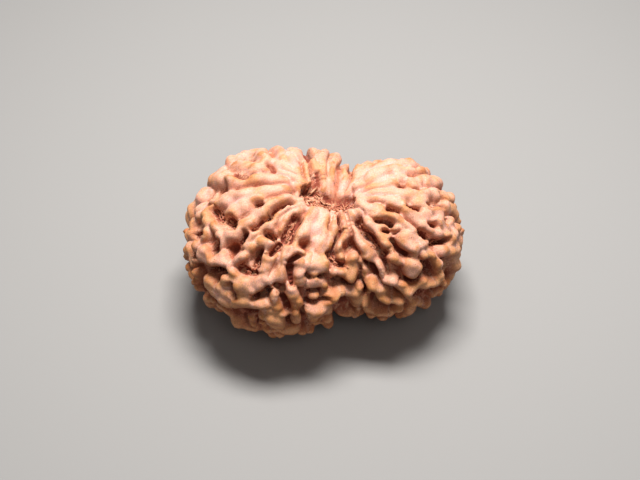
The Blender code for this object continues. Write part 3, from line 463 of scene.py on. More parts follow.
def grown_relief():
    """Knobs and the bars between them, for the back and the underside, as ridges."""
    rng = np.random.default_rng(GROWN_SEED)
    limit_lon, limit_polar = np.array(GROWN_FROM, float).T
    found = []
    for left, right in zip(SEAMS, [*SEAMS[1:], SEAMS[0] + 360]):
        centre, width = (left + right) / 2, right - left
        polar = np.interp((centre + 180) % 360 - 180, limit_lon, limit_polar)
        polar += rng.uniform(0, FIRST_ROW_STRAY)
        before = []
        while polar < GROWN_TO:
            spot = on_body([(centre, polar)])[0]
            reach = np.hypot(*(spot[:2] - MOUTH_CENTRE))
            across = max(1, round(reach * np.radians(width) / GROWN_STEP))
            row = []
            for i in range(across):
                lon = centre + width * ((i + 0.5) / across - 0.5 + KNOB_STRAY[0] * rng.uniform(-1, 1))
                row.append((lon, polar + KNOB_STRAY[1] * rng.uniform(-1, 1)))
            for knob in row:
                found.append((rng.uniform(*KNOB_WIDTH), rng.uniform(*KNOB_HEIGHT), [knob]))
                if before and rng.random() < BAR_CHANCE:
                    nearest = min(before, key=lambda other: abs(other[0] - knob[0]))
                    found.append((rng.uniform(*BAR_WIDTH), rng.uniform(*BAR_HEIGHT), [nearest, knob]))
            for one, other in zip(row, row[1:]):
                if rng.random() < LINK_CHANCE:
                    found.append((LINK_WIDTH, LINK_HEIGHT, [one, other]))
            before = row
            polar += np.degrees(GROWN_STEP / np.linalg.norm(spot - (*MOUTH_CENTRE, 0)))
    return found


def feet():
    """The low tubercles as knobs, each tall enough to pass the cut by the same amount."""
    found = []
    for foot in FEET:
        root = on_body([foot])
        drop = (root[0, 2] - FOOT_CUT + FOOT_BULGE) / -slope(root)[0, 2]
        found.append((FOOT_WIDTH, drop, [foot]))
    return found


def waves(points, size, seed):
    """Smooth irregular waves, mostly between -1 and 1, a few times size long."""
    rng = np.random.default_rng(seed)
    ways = unit(rng.normal(size=(WAVE_COUNT, 3)))
    ways *= 2 * np.pi / size * rng.uniform(*WAVE_SPREAD, (WAVE_COUNT, 1))
    return np.sin(points @ ways.T + rng.uniform(0, 2 * np.pi, WAVE_COUNT)).sum(1) / WAVE_SCALE


def wavered(points):
    """The points moved a little, so that the relief's edges waver."""
    size, reach = WAVER
    return points + reach * np.stack([waves(points, size, seed) for seed in WAVER_SEEDS], -1)


def gap_share(points, angles, reach):
    """Which points may lie within reach of a path, and their distance to it as a share of reach."""
    path = smooth_path(angles)
    near = np.all((points > path.min(0) - reach) & (points < path.max(0) + reach), axis=1)
    return near, gap_to_path(points[near], path) / reach


def top_to_below(points, values):
    """A value that fades from the top's to the one for lower down."""
    top, below = values
    return below + (top - below) * smooth_step(points[:, 2] / SWELL_TOP)


def ridge_height(points):
    """Height of every ridge and knob over the smooth body, run together where they meet.

    A bar or loop swells into a knuckle at each of its places.
    """
    total = np.exp(RIDGE_SMOOTHNESS * top_to_below(points, FILL)) - 1
    knobs = LEFT_RELIEF + FRONT_RELIEF + RIGHT_RELIEF + grown_relief()
    ridges = [(width * RIB_REACH, height, angles) for width, height, angles in MOUTH_RIBS]
    for width, height, angles in knobs:
        ridges.append((width * BAR_REACH, height * BAR_RISE, angles))
        ridges += [(width * KNUCKLE_REACH, height * KNUCKLE_RISE, [place]) for place in angles]
    for reach, height, angles in ridges + feet():
        near, gap = gap_share(points, angles, reach)
        rise = height * (1 - np.clip(gap, 0, 1) ** 2) ** RIDGE_FULLNESS
        total[near] += np.exp(RIDGE_SMOOTHNESS * rise) - 1
    return np.log1p(total) / RIDGE_SMOOTHNESS


def smooth_step(share):
    """0 to 1 with level ends."""
    share = np.clip(share, 0, 1)
    return share * share * (3 - 2 * share)


def mouth_hollows(points):
    """For each hollow of the mouth, which points lie in it (1 inside, 0 outside) and its level."""
    for centre, half, level in MOUTH_HOLLOWS:
        reach = np.linalg.norm((points[:, :2] - centre) / half, axis=1)
        yield np.where(points[:, 2] > 0, smooth_step((MOUTH_RIM - reach) / MOUTH_WALL), 0), level


def sunk(points, height):
    """The heights once the creases, pits and the mouth are cut into them."""
    height = height.copy()
    for half_width, drop, angles in CREASES:
        near, gap = gap_share(points, angles, half_width * CREASE_REACH)
        height[near] -= drop * smooth_step(1 - gap)
    for half_width, depth, angles in PITS:
        near, gap = gap_share(points, angles, half_width * PIT_REACH)
        share = smooth_step(PIT_WALL * (1 - gap))
        height[near] = height[near] * (1 - share) - depth * PIT_DROP * share
    for share, level in mouth_hollows(points):
        height = height * (1 - share) + level * share
    return height


def surface_height(points):
    """Height of the whole relief over the smooth body."""
    size, *shares = SWELL
    place = wavered(points)
    ridges = ridge_height(place) * (1 + top_to_below(points, shares) * waves(points, size, SWELL_SEED))
    return sunk(place, ridges)


def onto_body(points, rounds):
    """The points moved onto the smooth body."""
    for _ in range(rounds):
        points = points - PROJECTION_STEP * body(points)[:, None] * slope(points)
    return points


def neighbour_mean(values, edges, pull=1):
    """Mean of each vertex's neighbours, weighted by each edge's pull."""
    pull = pull * np.ones(len(edges))
    total = np.zeros_like(values)
    weight = np.zeros(len(values))
    for here, there in ((0, 1), (1, 0)):
        np.add.at(total, edges[:, here], values[edges[:, there]] * pull[:, None])
        np.add.at(weight, edges[:, here], pull)
    return total / weight[:, None]


def evened(points, edges, pull=1):
    """The places on the body spaced evenly, or closer where the pull is strong."""
    for _ in range(EVENING_ROUNDS):
        mean = neighbour_mean(points, edges, pull)
        points = onto_body(points + EVENING_STEP * (mean - points), 1)
    return onto_body(points, PROJECTION_ROUNDS)


def round_cube(cells):
    """A cube of square cells blown up to the smooth body: the mesh, its places and its edges."""
    mesh = bmesh.new()
    bmesh.ops.create_cube(mesh, size=2)
    bmesh.ops.subdivide_edges(mesh, edges=mesh.edges[:], cuts=cells - 1, use_grid_fill=True)
    points = np.tan(np.array([v.co for v in mesh.verts]) * np.pi / 4)
    points *= BODY_HALF_SIZE / np.linalg.norm(points, axis=1, keepdims=True)
    edges = np.array([[v.index for v in e.verts] for e in mesh.edges])
    points = onto_body(points, PROJECTION_ROUNDS + 1)
    return mesh, evened(points, edges), edges


def drawn_to_walls(points, height, edges):
    """The places on the body moved closer together where the relief is steep."""
    one, other = edges.T
    across = np.linalg.norm(points[one] - points[other], axis=1)
    pull = 1 + (WALL_PULL * (height[one] - height[other]) / across) ** 2
    return evened(points, edges, np.minimum(pull, WALL_LIMIT))


# Fine relief, in millimetres
SEAM_HALF_WIDTH = 0.16
SEAM_DEPTH = 0.22
SEAM_WANDER = 1.6
SEAM_WAVE = 0.11
SEAM_POLARS = range(24, 160, 8)
SEAM_SPACING = 0.8
GRAIN_SIZE = 0.55
GRAIN_DEPTH = 0.1
SWELL_SIZE = 1.6
SWELL_DEPTH = 0.07
STREAKS_AROUND = 26.0
STREAK_LENGTH = 1.4
STREAK_TURN = 7
STREAK_DEPTH = 0.12
HUSK_SIZE = 0.42
HUSK_DEPTH = 0.36
HUSK_TOP = 0.5
HUSK_FOLD = 2
PIT_HUSK = 0.45
# How much wider than each pit its mark reaches; the mark drives the husk relief, the husk colour and the
# painted pit shade
PIT_MARK_REACH = 1.15
CRISP_ROUNDS = 10
CRISPNESS = 0.3
UNDERCUT = 0.16
UNDERCUT_FROM = 0.4
SOFTENING = 0.35

# How far each noise is moved, and which way; the grain has two, by fineness
NOISE_WAY = (1.0, 0.7, -1.0)
SWELL_MOVE = 2.0
STREAK_MOVE = 3.0
GRAIN_MOVES = ((1, 5.0), (2, 9.0))
HUSK_MOVES = (7.0, 4.0)

# Rounds of smoothing against which the small hollows and the broad bends are measured
CAVITY_ROUNDS = 14
BROAD_ROUNDS = 60
MEASURE_STEP = 0.6

# Shreds of husk: how many for the size of a hollow or a pit, and which pits have them
MOUTH_SHREDS = 17
PIT_SHREDS = 9
SHREDDED_PIT = 0.5
SHREDDED_POLAR = 80
SHREDDED_LONGITUDE = 90
SHRED_SEED = 5

# Their sizes, bends and headings, how far they stand off the floor and how pale they are
SHRED_JOINTS = 7
SHRED_ROUNDS = 2
SHRED_LENGTH = (0.4, 1.2)
SHRED_HALF_WIDTH = (0.07, 0.17)
SHRED_THICKNESS = 0.7
SHRED_TAPER = 0.97
SHRED_BEND = 1.1
SHRED_KINK = 0.12
SHRED_TILT = 0.15
SHRED_CURL = 0.2
SHRED_ROLL = 0.5
MOUTH_SPREAD = 1.05
MOUTH_SCATTER = 0.6
MOUTH_ROUNDS = 6
MOUTH_STAND = (-0.1, 0.14)
MOUTH_TONE = (0.0, 0.75)
PIT_SPREAD = 0.35
PIT_SCATTER = 0.35
PIT_STAND = (-0.03, 0.08)
PIT_SHRED_SIZE = 0.55
PIT_TONE = (0.0, 0.5)

# Colours, linear
# Red-brown of the hollows by level, going near black at the lowest levels as painted shade
HOLLOW_COLOURS_AND_SHADE = [
    (0.0, (0.15, 0.034, 0.018)),
    (0.22, (0.38, 0.105, 0.055)),
    (0.42, (0.55, 0.215, 0.125)),
    (0.62, (0.67, 0.36, 0.24)),
]
# Painted shade: the hollows' colour is multiplied by this lower down on the stone
LOW_PAINTED_SHADE = (0.70, 0.50, 0.42)
PALE = (0.73, 0.395, 0.325)
# Ochre of the lower part: the stone's ochre, made darker as painted shade
OCHRE_AND_LOW_SHADE = (0.61, 0.27, 0.12)
DUSTY_PINK = (0.66, 0.33, 0.25)
TAN = (0.61, 0.29, 0.13)
# Red-brown down the ridges' sides: partly their colour, partly painted shade
FLANK_BROWN_AND_SHADE = (0.43, 0.14, 0.045)
# Amber on the knobs' tips: partly their colour, partly a painted translucent glow
AMBER_AND_GLOW = (0.46, 0.175, 0.045)
AMBER_AND_GLOW_SHARE = 0.75
# Darker brown on steep walls: partly their colour, partly painted shade
WALL_BROWN_AND_SHADE = (0.40, 0.125, 0.05)
# Painted shade on downward-facing surfaces
UNDERSIDE_SHADE = (0.31, 0.09, 0.03)
HUSK_RED = (0.22, 0.045, 0.025)
HUSK_PALE = (0.70, 0.36, 0.24)
STRAW = (0.60, 0.33, 0.19)
STRAW_SHARE = 0.5
SPECK = (0.16, 0.05, 0.03)
SPECK_SHARE = 0.7
SEAM_DUST = (0.70, 0.48, 0.38)
SEAM_DARK = (0.10, 0.03, 0.02)
SEAM_SHARE = 0.4
SHRED_COLOURS = [(0.0, (0.40, 0.115, 0.06)), (0.5, (0.56, 0.23, 0.13)), (1.0, (0.78, 0.48, 0.30))]

# Noises of the materials: size in millimetres, and detail
NOISES = dict(
    patches=(2.6, 3),
    fine=(0.45, 3),
    pink=(1.1, 3),
    tips=(1.6, 3),
    husk=(0.22, 2),
    dust=(0.14, 2),
    specks=(0.28, 2),
    seam=(0.2, 2),
    bump=(0.16, 4),
    shreds=(0.3, 3),
)
NOISE_ROUGHNESS = 0.55

# Ranges of the materials: the ends of what is read, then what they turn into (else 0 and 1)
RANGES = dict(
    # bend: painted shade, the level drops where the skin is hollow
    bend=(-0.2, 0.2, 0.28, -0.28),
    level=(-0.7, 1.1),
    level_stray=(0.3, 0.7, -0.09, 0.09),
    # Painted shade: the level drops inside pits and the mouth
    painted_pit_shade=(0.15, 0.9, 0, 0.22),
    upper=(5, 15),
    upper_stray=(0.3, 0.7, -0.45, 0.45),
    low_painted_shade=(0.8, 0),
    pink=(0.5, 0.72, 0, 0.6),
    ridges=(-0.02, -0.13),
    ridges_stray=(0.3, 0.6, 0.7, 1),
    ridges_higher=(0.4, 1, 0.95, 0.4),
    flanks=(1.1, 0.65, 0, 0.4),
    flanks_higher=(0.2, 1, 1, 0.25),
    tips=(-0.07, -0.2),
    tips_stray=(0.42, 0.62),
    crests=(0.58, 0.82),
    walls=(0.1, 0.55, 0, 0.75),
    walls_higher=(0.1, 1, 1, 0.4),
    # Painted shade on downward-facing surfaces
    underside=(0.25, -0.4, 0, 0.75),
    husk=(0.4, 0.62),
    husk_lower=(0.7, 0, 0, 0.6),
    floors=(0.8, 0.35),
    floors_in_pits=(0.15, 0.7, 0.45, 0.9),
    dust=(0.35, 0.65, 0.8, 1.14),
    streaks=(0.05, 0.45),
    streaks_lower=(0.6, 0.1),
    specks=(0.29, 0.22),
    seam=(0.42, 0.5),
    roughness=(0.35, 0.8, 0.9, 0.62),
    bump=(0.4, 0.85, 1, 0.3),
    shreds=(0.4, 0.7, 0, 0.35),
)

# Settings of the shaders, lengths in metres
BUMP_DEPTH = 0.05 * METRES
STONE_SHADER = {
    "Specular IOR Level": 0.35,
    "Subsurface Weight": 0.18,
    "Subsurface Radius": (1.0, 0.35, 0.15),
    "Subsurface Scale": 0.5 * METRES,
}
SHRED_SHADER = {
    "Roughness": 0.7,
    "Subsurface Weight": 0.2,
    "Subsurface Radius": (1.0, 0.4, 0.2),
    "Subsurface Scale": 0.3 * METRES,
}
FLOOR_SHADER = {"Base Color": (0.3, 0.3, 0.3, 1), "Roughness": 0.9}

# Studio: the floor in metres, and each light's place, aim, size in millimetres and watts
FLOOR_SIZE = 3
LIGHT_COLOUR = (1, 0.96, 0.92)
LIGHTS = {
    "key": ((6, 30, 154), (0, 0, 6), (70, 40), 0.475),
    "fill": ((24, -90, 140), (0, 0, 8), (60, 60), 0.024),
}
WORLD_STRENGTH = 0.145

# Camera: the photograph's view of the stone
CAMERA_ELEVATION = 50.0
CAMERA_DISTANCE = 120.0
PHOTO_WIDTH = 640
PIXELS_PER_MM = 9.233
AIM_RIGHT_OF_CENTRE = -0.49
SENSOR = 36.0
CLIP = (0.005, 10)


def noise_at(points, size, move):
    """Smooth noise, about -1 to 1, at each point."""
    shift = Vector([way * move for way in NOISE_WAY])
    return np.array([noise.noise(Vector(p) / size + shift) for p in points.tolist()])


def seamed(points, height):
    """The heights with a hair-fine seam cut from pole to pole between each two faces, and its mark."""
    mark = np.zeros(len(points))
    for k, lon in enumerate(SEAMS):
        angles = [(lon + SEAM_WANDER * np.sin(SEAM_WAVE * polar + k), polar) for polar in SEAM_POLARS]
        path = smooth_path(angles, SEAM_SPACING)
        mark = np.maximum(mark, np.clip(1 - gap_to_path(points, path) / SEAM_HALF_WIDTH, 0, 1))
    return height - SEAM_DEPTH * mark, mark


def vertex_normals(points, quads):
    """Smooth normals of a closed mesh of quads."""
    a, b, c, d = (points[quads[:, i]] for i in range(4))
    face = np.cross(c - a, d - b)
    out = np.zeros_like(points)
    for i in range(4):
        np.add.at(out, quads[:, i], face)
    return out / np.maximum(np.linalg.norm(out, axis=1, keepdims=True), TINY)


def in_mouth(points):
    """1 inside the mouth, 0 outside it."""
    return np.max([share for share, _ in mouth_hollows(wavered(points))], axis=0)


def pitted(points):
    """How far into a pit or the mouth each point lies: 0 outside, 1 on the floor."""
    inside = in_mouth(points)
    points = wavered(points)
    for half_width, _, angles in PITS:
        near, gap = gap_share(points, angles, half_width * PIT_REACH * PIT_MARK_REACH)
        inside[near] = np.maximum(inside[near], smooth_step(PIT_WALL * (1 - gap)))
    return inside


def fibre_streaks(points):
    """Noise drawn out into streaks that run from the mouth, about -1 to 1."""
    out = points - (*MOUTH_CENTRE, 0)
    reach = np.linalg.norm(out, axis=1)
    along = reach + np.degrees(np.arccos(out[:, 2] / reach)) / STREAK_TURN
    stretched = np.column_stack([unit(out[:, :2]) * STREAKS_AROUND, along / STREAK_LENGTH])
    return noise_at(stretched, 1.0, STREAK_MOVE)


def detailed(smooth, base, edges):
    """The heights with all their fine detail, and the marks of the seams, streaks and pits."""
    rise = np.clip(base, 0, 1)
    inner, mouth = pitted(smooth), in_mouth(smooth)
    streaks = fibre_streaks(smooth)
    grain = sum(noise_at(smooth, GRAIN_SIZE / fine, move) / fine for fine, move in GRAIN_MOVES)
    husk = HUSK_TOP - HUSK_FOLD * np.abs(noise_at(smooth, HUSK_SIZE, HUSK_MOVES[0]))
    husk = husk + noise_at(smooth, HUSK_SIZE / 2, HUSK_MOVES[1])
    soft = base[:, None]
    for _ in range(CRISP_ROUNDS):
        soft = neighbour_mean(soft, edges)
    rough = (1 - rise) ** 2 * (1 + inner)
    height, seam = seamed(smooth, base)
    height = height + (GRAIN_DEPTH * grain + STREAK_DEPTH * streaks) * rough
    height = height + SWELL_DEPTH * noise_at(smooth, SWELL_SIZE, SWELL_MOVE) * rise
    height = height + HUSK_DEPTH * husk * (mouth + PIT_HUSK * (inner - mouth))
    height = height + CRISPNESS * (base - soft[:, 0]) * top_to_below(smooth, (1 - mouth, 0))
    return height, seam, streaks, inner


def measured(points, quads, edges):
    """Outward normals, and how far each point lies under the skin smoothed a little and a lot."""
    outward = vertex_normals(points, quads)
    deep = points.copy()
    for done in range(1, BROAD_ROUNDS + 1):
        deep += MEASURE_STEP * (neighbour_mean(deep, edges) - deep)
        if done == CAVITY_ROUNDS:
            cavity = ((deep - points) * outward).sum(1)
    return outward, cavity, ((deep - points) * outward).sum(1)


def way_to_frame(points):
    """How far the frame's place of the stone is from this script's own."""
    low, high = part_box(NODE)
    middle = (points.min(0) + points.max(0)) / 2
    return np.array([
        (low.x + high.x) / 2 / METRES - middle[0],
        (low.y + high.y) / 2 / METRES - middle[1],
        low.z / METRES - FOOT_CUT,
    ])


def link(name, data):
    """A new object in the scene."""
    item = bpy.data.objects.new(name, data)
    bpy.context.scene.collection.objects.link(item)
    return item


def add_values(data, **values):
    """Stores one number a vertex on a mesh, for its material to read."""
    for name, numbers in values.items():
        attribute = data.attributes.new(name, "FLOAT", "POINT")
        attribute.data.foreach_set("value", numbers.astype(np.float32))


def fine_stone():
    """The stone's skin, and how far the frame's place is from this script's own."""
    mesh, smooth, edges = round_cube(CELLS)
    smooth = drawn_to_walls(smooth, surface_height(smooth), edges)
    quads = np.array([[v.index for v in f.verts] for f in mesh.faces])
    base = surface_height(smooth)
    height, seam, streaks, inner = detailed(smooth, base, edges)
    points = smooth + slope(smooth) * height[:, None]
    lean = UNDERCUT * (np.clip(base, 0, 1) - UNDERCUT_FROM)
    points = points + vertex_normals(points, quads) * lean[:, None]
    points += SOFTENING * (neighbour_mean(points, edges) - points)
    points[:, 2] = np.maximum(points[:, 2], FOOT_CUT)
    outward, cavity, broad = measured(points, quads, edges)
    shift = way_to_frame(points)
    for vertex, where in zip(mesh.verts, points + shift):
        vertex.co = where * METRES
    data = bpy.data.meshes.new("stone_skin")
    mesh.to_mesh(data)
    mesh.free()
    steep = 1 - (outward * slope(smooth)).sum(1)
    add_values(data, rise=base, cavity=cavity, broad=broad, steep=steep, facing=outward[:, 2])
    add_values(data, seam=seam, streak=streaks, pit=inner)
    data.shade_smooth()
    data.materials.append(stone_material())
    return link("stone_skin", data), shift


def spine(rng, start, heading, length, bend):
    """Points along a bent shred on the smooth body, from a start on it."""
    up = slope(start[None])[0]
    side = np.cross(up, heading)
    side /= np.linalg.norm(side)
    ahead = np.cross(side, up)
    turn = bend * (np.arange(SHRED_JOINTS) / (SHRED_JOINTS - 1) - 0.5)
    turn = turn + rng.normal(0, SHRED_KINK, SHRED_JOINTS)
    steps = length / (SHRED_JOINTS - 1) * (np.cos(turn)[:, None] * ahead + np.sin(turn)[:, None] * side)
    points = start + np.cumsum(steps, 0) - steps.sum(0) / 2
    return onto_body(points, SHRED_ROUNDS)


def mouth_starts(rng, centre, half):
    """Where shreds lie in one hollow: place, heading, stand off the floor, length and tone."""
    for _ in range(round(MOUTH_SHREDS * half[0] * half[1])):
        angle, reach = rng.uniform(0, 2 * np.pi), MOUTH_SPREAD * np.sqrt(rng.uniform())
        plan = np.array(centre) + reach * np.array(half) * (np.cos(angle), np.sin(angle))
        place = onto_body(np.array([[*plan, POLE_HEIGHT - FUNNEL_DEPTH]]), MOUTH_ROUNDS)[0]
        way = rng.normal(0, MOUTH_SCATTER) + rng.choice([0, 0.5 * np.pi])
        heading = np.array([np.cos(way), np.sin(way), 0.0])
        length = rng.uniform(*SHRED_LENGTH)
        yield place, heading, rng.uniform(*MOUTH_STAND), length, rng.uniform(*MOUTH_TONE)


def pit_starts(rng, half_width, angles):
    """The same in one pit."""
    path = smooth_path(angles)
    legs = np.diff(path, axis=0)
    size = np.linalg.norm(legs, axis=1)
    for _ in range(round(PIT_SHREDS * (size.sum() + half_width) * half_width)):
        leg = rng.choice(len(legs), p=size / size.sum())
        place = path[leg] + rng.uniform() * legs[leg] + rng.normal(0, PIT_SPREAD * half_width, 3)
        heading = legs[leg] / size[leg] + rng.normal(0, PIT_SCATTER, 3)
        place = onto_body(place[None], SHRED_ROUNDS)[0]
        length = PIT_SHRED_SIZE * rng.uniform(*SHRED_LENGTH)
        yield place, heading, rng.uniform(*PIT_STAND), length, rng.uniform(*PIT_TONE)


def shred_starts(rng):
    """Where all the shreds lie: in the mouth's filled hollows and the wider pits of the front."""
    found = []
    for centre, half, level in MOUTH_HOLLOWS:
        if level > 0:
            found += mouth_starts(rng, centre, half)
    for half_width, _, angles in PITS:
        in_front = angles[-1][1] <= SHREDDED_POLAR and angles[0][0] <= SHREDDED_LONGITUDE
        if half_width >= SHREDDED_PIT and in_front:
            found += pit_starts(rng, half_width, angles)
    return found


def shred_rails(rng, starts):
    """Three rails of points along each shred: its two edges and its keel."""
    spines, stands, widths = [], [], []
    along = np.linspace(-1, 1, SHRED_JOINTS)
    for place, heading, stand, length, _ in starts:
        bend = rng.normal(0, SHRED_BEND)
        spines.append(spine(rng, place, heading, length, bend))
        lift = stand + rng.uniform(-SHRED_TILT, SHRED_TILT) * (along * rng.choice([-1, 1]))
        stands.append(lift + rng.uniform(0, SHRED_CURL) * along**2)
        taper = np.sqrt(1 - np.linspace(-SHRED_TAPER, SHRED_TAPER, SHRED_JOINTS) ** 2)
        widths.append(rng.uniform(*SHRED_HALF_WIDTH) * taper)
    smooth = np.concatenate(spines)
    up = slope(smooth)
    middle = smooth + up * (surface_height(smooth) + np.concatenate(stands))[:, None]
    middle = middle.reshape(len(starts), SHRED_JOINTS, 3)
    up = up.reshape(middle.shape)
    width = np.array(widths)[..., None]
    side = unit(np.cross(np.gradient(middle, axis=1), up))
    roll = rng.uniform(-SHRED_ROLL, SHRED_ROLL, (len(starts), 1, 1))
    side, up = side * np.cos(roll) + up * np.sin(roll), up * np.cos(roll) - side * np.sin(roll)
    keel = middle + up * width * SHRED_THICKNESS
    return np.stack([middle - side * width, middle + side * width, keel], axis=2)


def shreds(shift):
    """Torn shreds of dry husk in the mouth and the wider pits, as one mesh of tapering strips."""
    rng = np.random.default_rng(SHRED_SEED)
    starts = shred_starts(rng)
    places = (shred_rails(rng, starts).reshape(-1, 3) + shift) * METRES
    numbers = np.arange(len(places)).reshape(len(starts), SHRED_JOINTS, 3)
    faces = []
    for rail in range(3):
        here, there = numbers[:, :, rail], numbers[:, :, (rail + 1) % 3]
        faces.append(np.stack([here[:, :-1], there[:, :-1], there[:, 1:], here[:, 1:]], -1).reshape(-1, 4))
    ends = np.concatenate([numbers[:, 0], numbers[:, -1, ::-1]])
    data = bpy.data.meshes.new("shreds")
    data.from_pydata(places.tolist(), [], np.concatenate(faces).tolist() + ends.tolist())
    add_values(data, tone=np.repeat(np.array([start[-1] for start in starts]), SHRED_JOINTS * 3))
    data.shade_smooth()
    data.materials.append(shred_material())
    return link("shreds", data)


class Graph:
    """Short ways to lay nodes in one material."""

    def __init__(self, name, settings):
        self.material = bpy.data.materials.new(name)
        self.material.use_nodes = True
        self.tree = self.material.node_tree
        self.shader = self.tree.nodes["Principled BSDF"]
        self.feed(self.shader, settings)
        where = self.node("TexCoord", "Object", {})
        self.place = self.node("VectorMath", 0, {0: where, "Scale": 1 / METRES}, operation="SCALE")

    def feed(self, node, sources):
        """Sets each named input to a number or colour, or links an output to it."""
        for name, source in sources.items():
            if isinstance(source, bpy.types.NodeSocket):
                self.tree.links.new(source, node.inputs[name])
            else:
                node.inputs[name].default_value = source

    def node(self, kind, output, sources, **settings):
        """A new node's output."""
        node = self.tree.nodes.new("ShaderNode" + kind)
        for name, value in settings.items():
            setattr(node, name, value)
        self.feed(node, sources)
        return node.outputs[output]

    def maths(self, operation, one, other):
        return self.node("Math", 0, {0: one, 1: other}, operation=operation)

    def times(self, one, other):
        return self.maths("MULTIPLY", one, other)

    def value(self, name):
        """What the mesh stores under a name."""
        return self.node("Attribute", "Fac", {}, attribute_name=name)

    def ranged(self, value, name, steps="SMOOTHSTEP"):
        """A value brought from one range to another, by a name in RANGES."""
        ends = zip(("From Min", "From Max", "To Min", "To Max"), (*RANGES[name], 0, 1))
        return self.node("MapRange", "Result", {"Value": value, **dict(ends)}, interpolation_type=steps)

    def noise(self, name):
        """Noise, 0 to 1, by a name in NOISES."""
        size, detail = NOISES[name]
        sources = {"Vector": self.place, "Scale": 1 / size, "Detail": detail, "Roughness": NOISE_ROUGHNESS}
        return self.node("TexNoise", "Fac", sources)

    def ramp(self, value, stops):
        """The colour for a value, by (value, colour) stops."""
        colour = self.node("ValToRGB", "Color", {"Fac": value})
        elements = colour.node.color_ramp.elements
        for element, (at, shade) in ((elements[0], stops[0]), (elements[1], stops[-1])):
            element.position, element.color = at, (*shade, 1)
        for at, shade in stops[1:-1]:
            elements.new(at).color = (*shade, 1)
        return colour

    def mixed(self, share, one, other, blend="MIX"):
        """Two colours mixed, by how much of the second."""
        one, other = ((*each, 1) if isinstance(each, tuple) else each for each in (one, other))
        sources = {"Factor": share, "A": one, "B": other}
        return self.node("Mix", "Result", sources, data_type="RGBA", blend_type=blend)


def crest_colour(g, rise, cavity, fine, upper):
    """Ochre low down to pale pink on top, with tan ridges, redder flanks and amber tips; the darker ochre
    low down and the redder flanks are partly painted shade, the amber tips partly a painted translucent
    glow.
    """
    colour = g.mixed(upper, OCHRE_AND_LOW_SHADE, PALE)
    colour = g.mixed(g.times(g.ranged(g.noise("pink"), "pink"), upper), colour, DUSTY_PINK)
    ridges = g.times(g.ranged(g.value("broad"), "ridges"), g.ranged(fine, "ridges_stray"))
    colour = g.mixed(g.times(ridges, g.ranged(upper, "ridges_higher")), colour, TAN)
    # Painted shade, with some real red-brown, down the ridges' sides
    flanks = g.times(g.ranged(rise, "flanks"), g.ranged(upper, "flanks_higher"))
    colour = g.mixed(flanks, colour, FLANK_BROWN_AND_SHADE)
    # Amber tips: partly their colour, partly a painted translucent glow
    tips = g.times(g.ranged(cavity, "tips"), g.ranged(g.noise("tips"), "tips_stray"))
    return g.mixed(g.times(tips, AMBER_AND_GLOW_SHARE), colour, AMBER_AND_GLOW)


def husk_colour(g, bend, upper):
    """Red grains with paler ones between them, darker in small hollows as painted shade, and redder low
    down.
    """
    grains = g.maths("ADD", g.noise("husk"), bend)
    colour = g.mixed(g.ranged(grains, "husk"), HUSK_RED, HUSK_PALE)
    return g.mixed(g.ranged(upper, "husk_lower"), colour, HUSK_RED)


def marked(g, colour, rise):
    """A colour with its dust, fibres, specks and seams."""
    dust = g.ranged(g.noise("dust"), "dust", "LINEAR")
    colour = g.mixed(1.0, colour, dust, "MULTIPLY")
    fibres = g.times(g.ranged(g.value("streak"), "streaks"), g.ranged(rise, "streaks_lower"))
    colour = g.mixed(g.times(fibres, STRAW_SHARE), colour, STRAW)
    colour = g.mixed(g.times(g.ranged(g.noise("specks"), "specks"), SPECK_SHARE), colour, SPECK)
    seam = g.mixed(g.ranged(g.noise("seam"), "seam"), SEAM_DARK, SEAM_DUST)
    return g.mixed(g.times(g.value("seam"), SEAM_SHARE), colour, seam)


def stone_material():
    """Dry tan stone: pale pink on top, ochre lower down, amber tips and red-brown fibrous hollows, with
    painted shade in its hollows, creases, pits, walls and undersides and low down.
    """
    g = Graph("stone", STONE_SHADER)
    rise, cavity, pit = g.value("rise"), g.value("cavity"), g.value("pit")
    fine = g.noise("fine")
    # Painted shade: the level, and so the colour, drops where the skin is hollow, darkening small hollows
    # and creases
    bend = g.ranged(cavity, "bend", "LINEAR")
    level = g.maths("ADD", g.ranged(rise, "level", "LINEAR"), bend)
    level = g.maths("ADD", level, g.ranged(fine, "level_stray", "LINEAR"))
    # Painted shade: the level drops further inside pits and the mouth, darkening them
    level = g.maths("SUBTRACT", level, g.ranged(pit, "painted_pit_shade"))
    upper = g.ranged(g.node("SeparateXYZ", "Z", {0: g.place}), "upper")
    upper = g.maths("ADD", upper, g.ranged(g.noise("patches"), "upper_stray"))
    # The hollows' red-brown, near black at the lowest level: partly painted shade
    hollow = g.ramp(level, HOLLOW_COLOURS_AND_SHADE)
    # Painted shade: the hollows darker lower down
    hollow = g.mixed(g.ranged(upper, "low_painted_shade"), hollow, LOW_PAINTED_SHADE, "MULTIPLY")
    crest = crest_colour(g, rise, cavity, fine, upper)
    colour = g.mixed(g.ranged(level, "crests"), hollow, crest)
    # Steep walls darker brown: partly their colour, partly painted shade
    walls = g.times(g.ranged(g.value("steep"), "walls"), g.ranged(upper, "walls_higher"))
    colour = g.mixed(walls, colour, WALL_BROWN_AND_SHADE)
    # Painted shade: downward-facing surfaces darker
    colour = g.mixed(g.ranged(g.value("facing"), "underside"), colour, UNDERSIDE_SHADE)
    floors = g.times(g.ranged(pit, "floors_in_pits"), g.ranged(rise, "floors"))
    colour = g.mixed(floors, colour, husk_colour(g, bend, upper))
    bumps = {"Strength": g.ranged(level, "bump"), "Height": g.maths("ADD", g.noise("bump"), fine)}
    g.feed(g.shader, {
        "Base Color": marked(g, colour, rise),
        "Roughness": g.ranged(level, "roughness"),
        "Normal": g.node("Bump", "Normal", {"Distance": BUMP_DEPTH, **bumps}),
    })
    return g.material


def shred_material():
    """Dry husk fibre, straw to red-brown from shred to shred."""
    g = Graph("husk_fibre", SHRED_SHADER)
    colour = g.ramp(g.value("tone"), SHRED_COLOURS)
    colour = g.mixed(g.ranged(g.noise("shreds"), "shreds"), colour, SHRED_COLOURS[0][1])
    g.feed(g.shader, {"Base Color": colour})
    return g.material


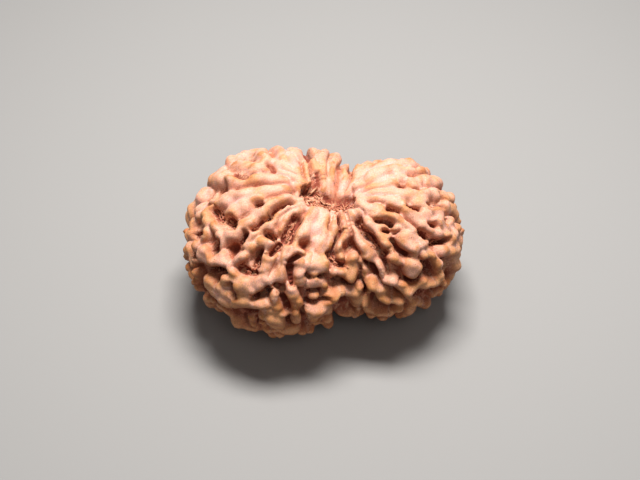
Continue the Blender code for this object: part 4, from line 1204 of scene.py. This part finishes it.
def area_light(name, place, aim, size, power):
    """A soft oblong light, in millimetres and watts."""
    light = bpy.data.lights.new(name, "AREA")
    light.shape = "RECTANGLE"
    light.size, light.size_y = size[0] * METRES, size[1] * METRES
    light.energy = power
    light.color = LIGHT_COLOUR
    lamp = link(name, light)
    lamp.location = Vector(place) * METRES
    lamp.rotation_euler = (Vector(aim) - Vector(place)).to_track_quat("-Z", "Y").to_euler()


def studio():
    """A plain pale floor and soft light."""
    bpy.ops.mesh.primitive_plane_add(size=FLOOR_SIZE, location=(0, 0, 0))
    floor = bpy.context.object
    floor.name = "floor"
    floor.data.materials.append(Graph("floor", FLOOR_SHADER).material)
    world = bpy.data.worlds.new("studio")
    world.use_nodes = True
    background = world.node_tree.nodes["Background"]
    background.inputs["Color"].default_value = (*LIGHT_COLOUR, 1)
    background.inputs["Strength"].default_value = WORLD_STRENGTH
    bpy.context.scene.world = world
    bpy.context.scene.view_settings.view_transform = "Standard"
    for name, settings in LIGHTS.items():
        area_light(name, *settings)


def place_camera(shift):
    """The photograph's camera."""
    elevation = np.radians(CAMERA_ELEVATION)
    aim = Vector((shift[0] + AIM_RIGHT_OF_CENTRE, shift[1], shift[2]))
    back = Vector((0, -np.cos(elevation), np.sin(elevation)))
    data = bpy.data.cameras.new("camera")
    data.sensor_width = SENSOR
    data.lens = PIXELS_PER_MM * CAMERA_DISTANCE * SENSOR / PHOTO_WIDTH
    data.clip_start, data.clip_end = CLIP
    camera = link("camera", data)
    camera.location = (aim + back * CAMERA_DISTANCE) * METRES
    camera.rotation_euler = (-back).to_track_quat("-Z", "Y").to_euler()
    bpy.context.scene.camera = camera


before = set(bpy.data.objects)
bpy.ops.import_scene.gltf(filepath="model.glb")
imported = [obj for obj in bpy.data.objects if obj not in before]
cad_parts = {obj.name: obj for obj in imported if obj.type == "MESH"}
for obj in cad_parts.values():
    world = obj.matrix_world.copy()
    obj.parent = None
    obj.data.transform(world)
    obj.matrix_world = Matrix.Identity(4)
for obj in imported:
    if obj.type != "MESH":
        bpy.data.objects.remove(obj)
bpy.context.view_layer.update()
skin, moved = fine_stone()
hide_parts(NODE)
for piece in (skin, shreds(moved)):
    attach(piece, "root")
studio()
place_camera(moved)
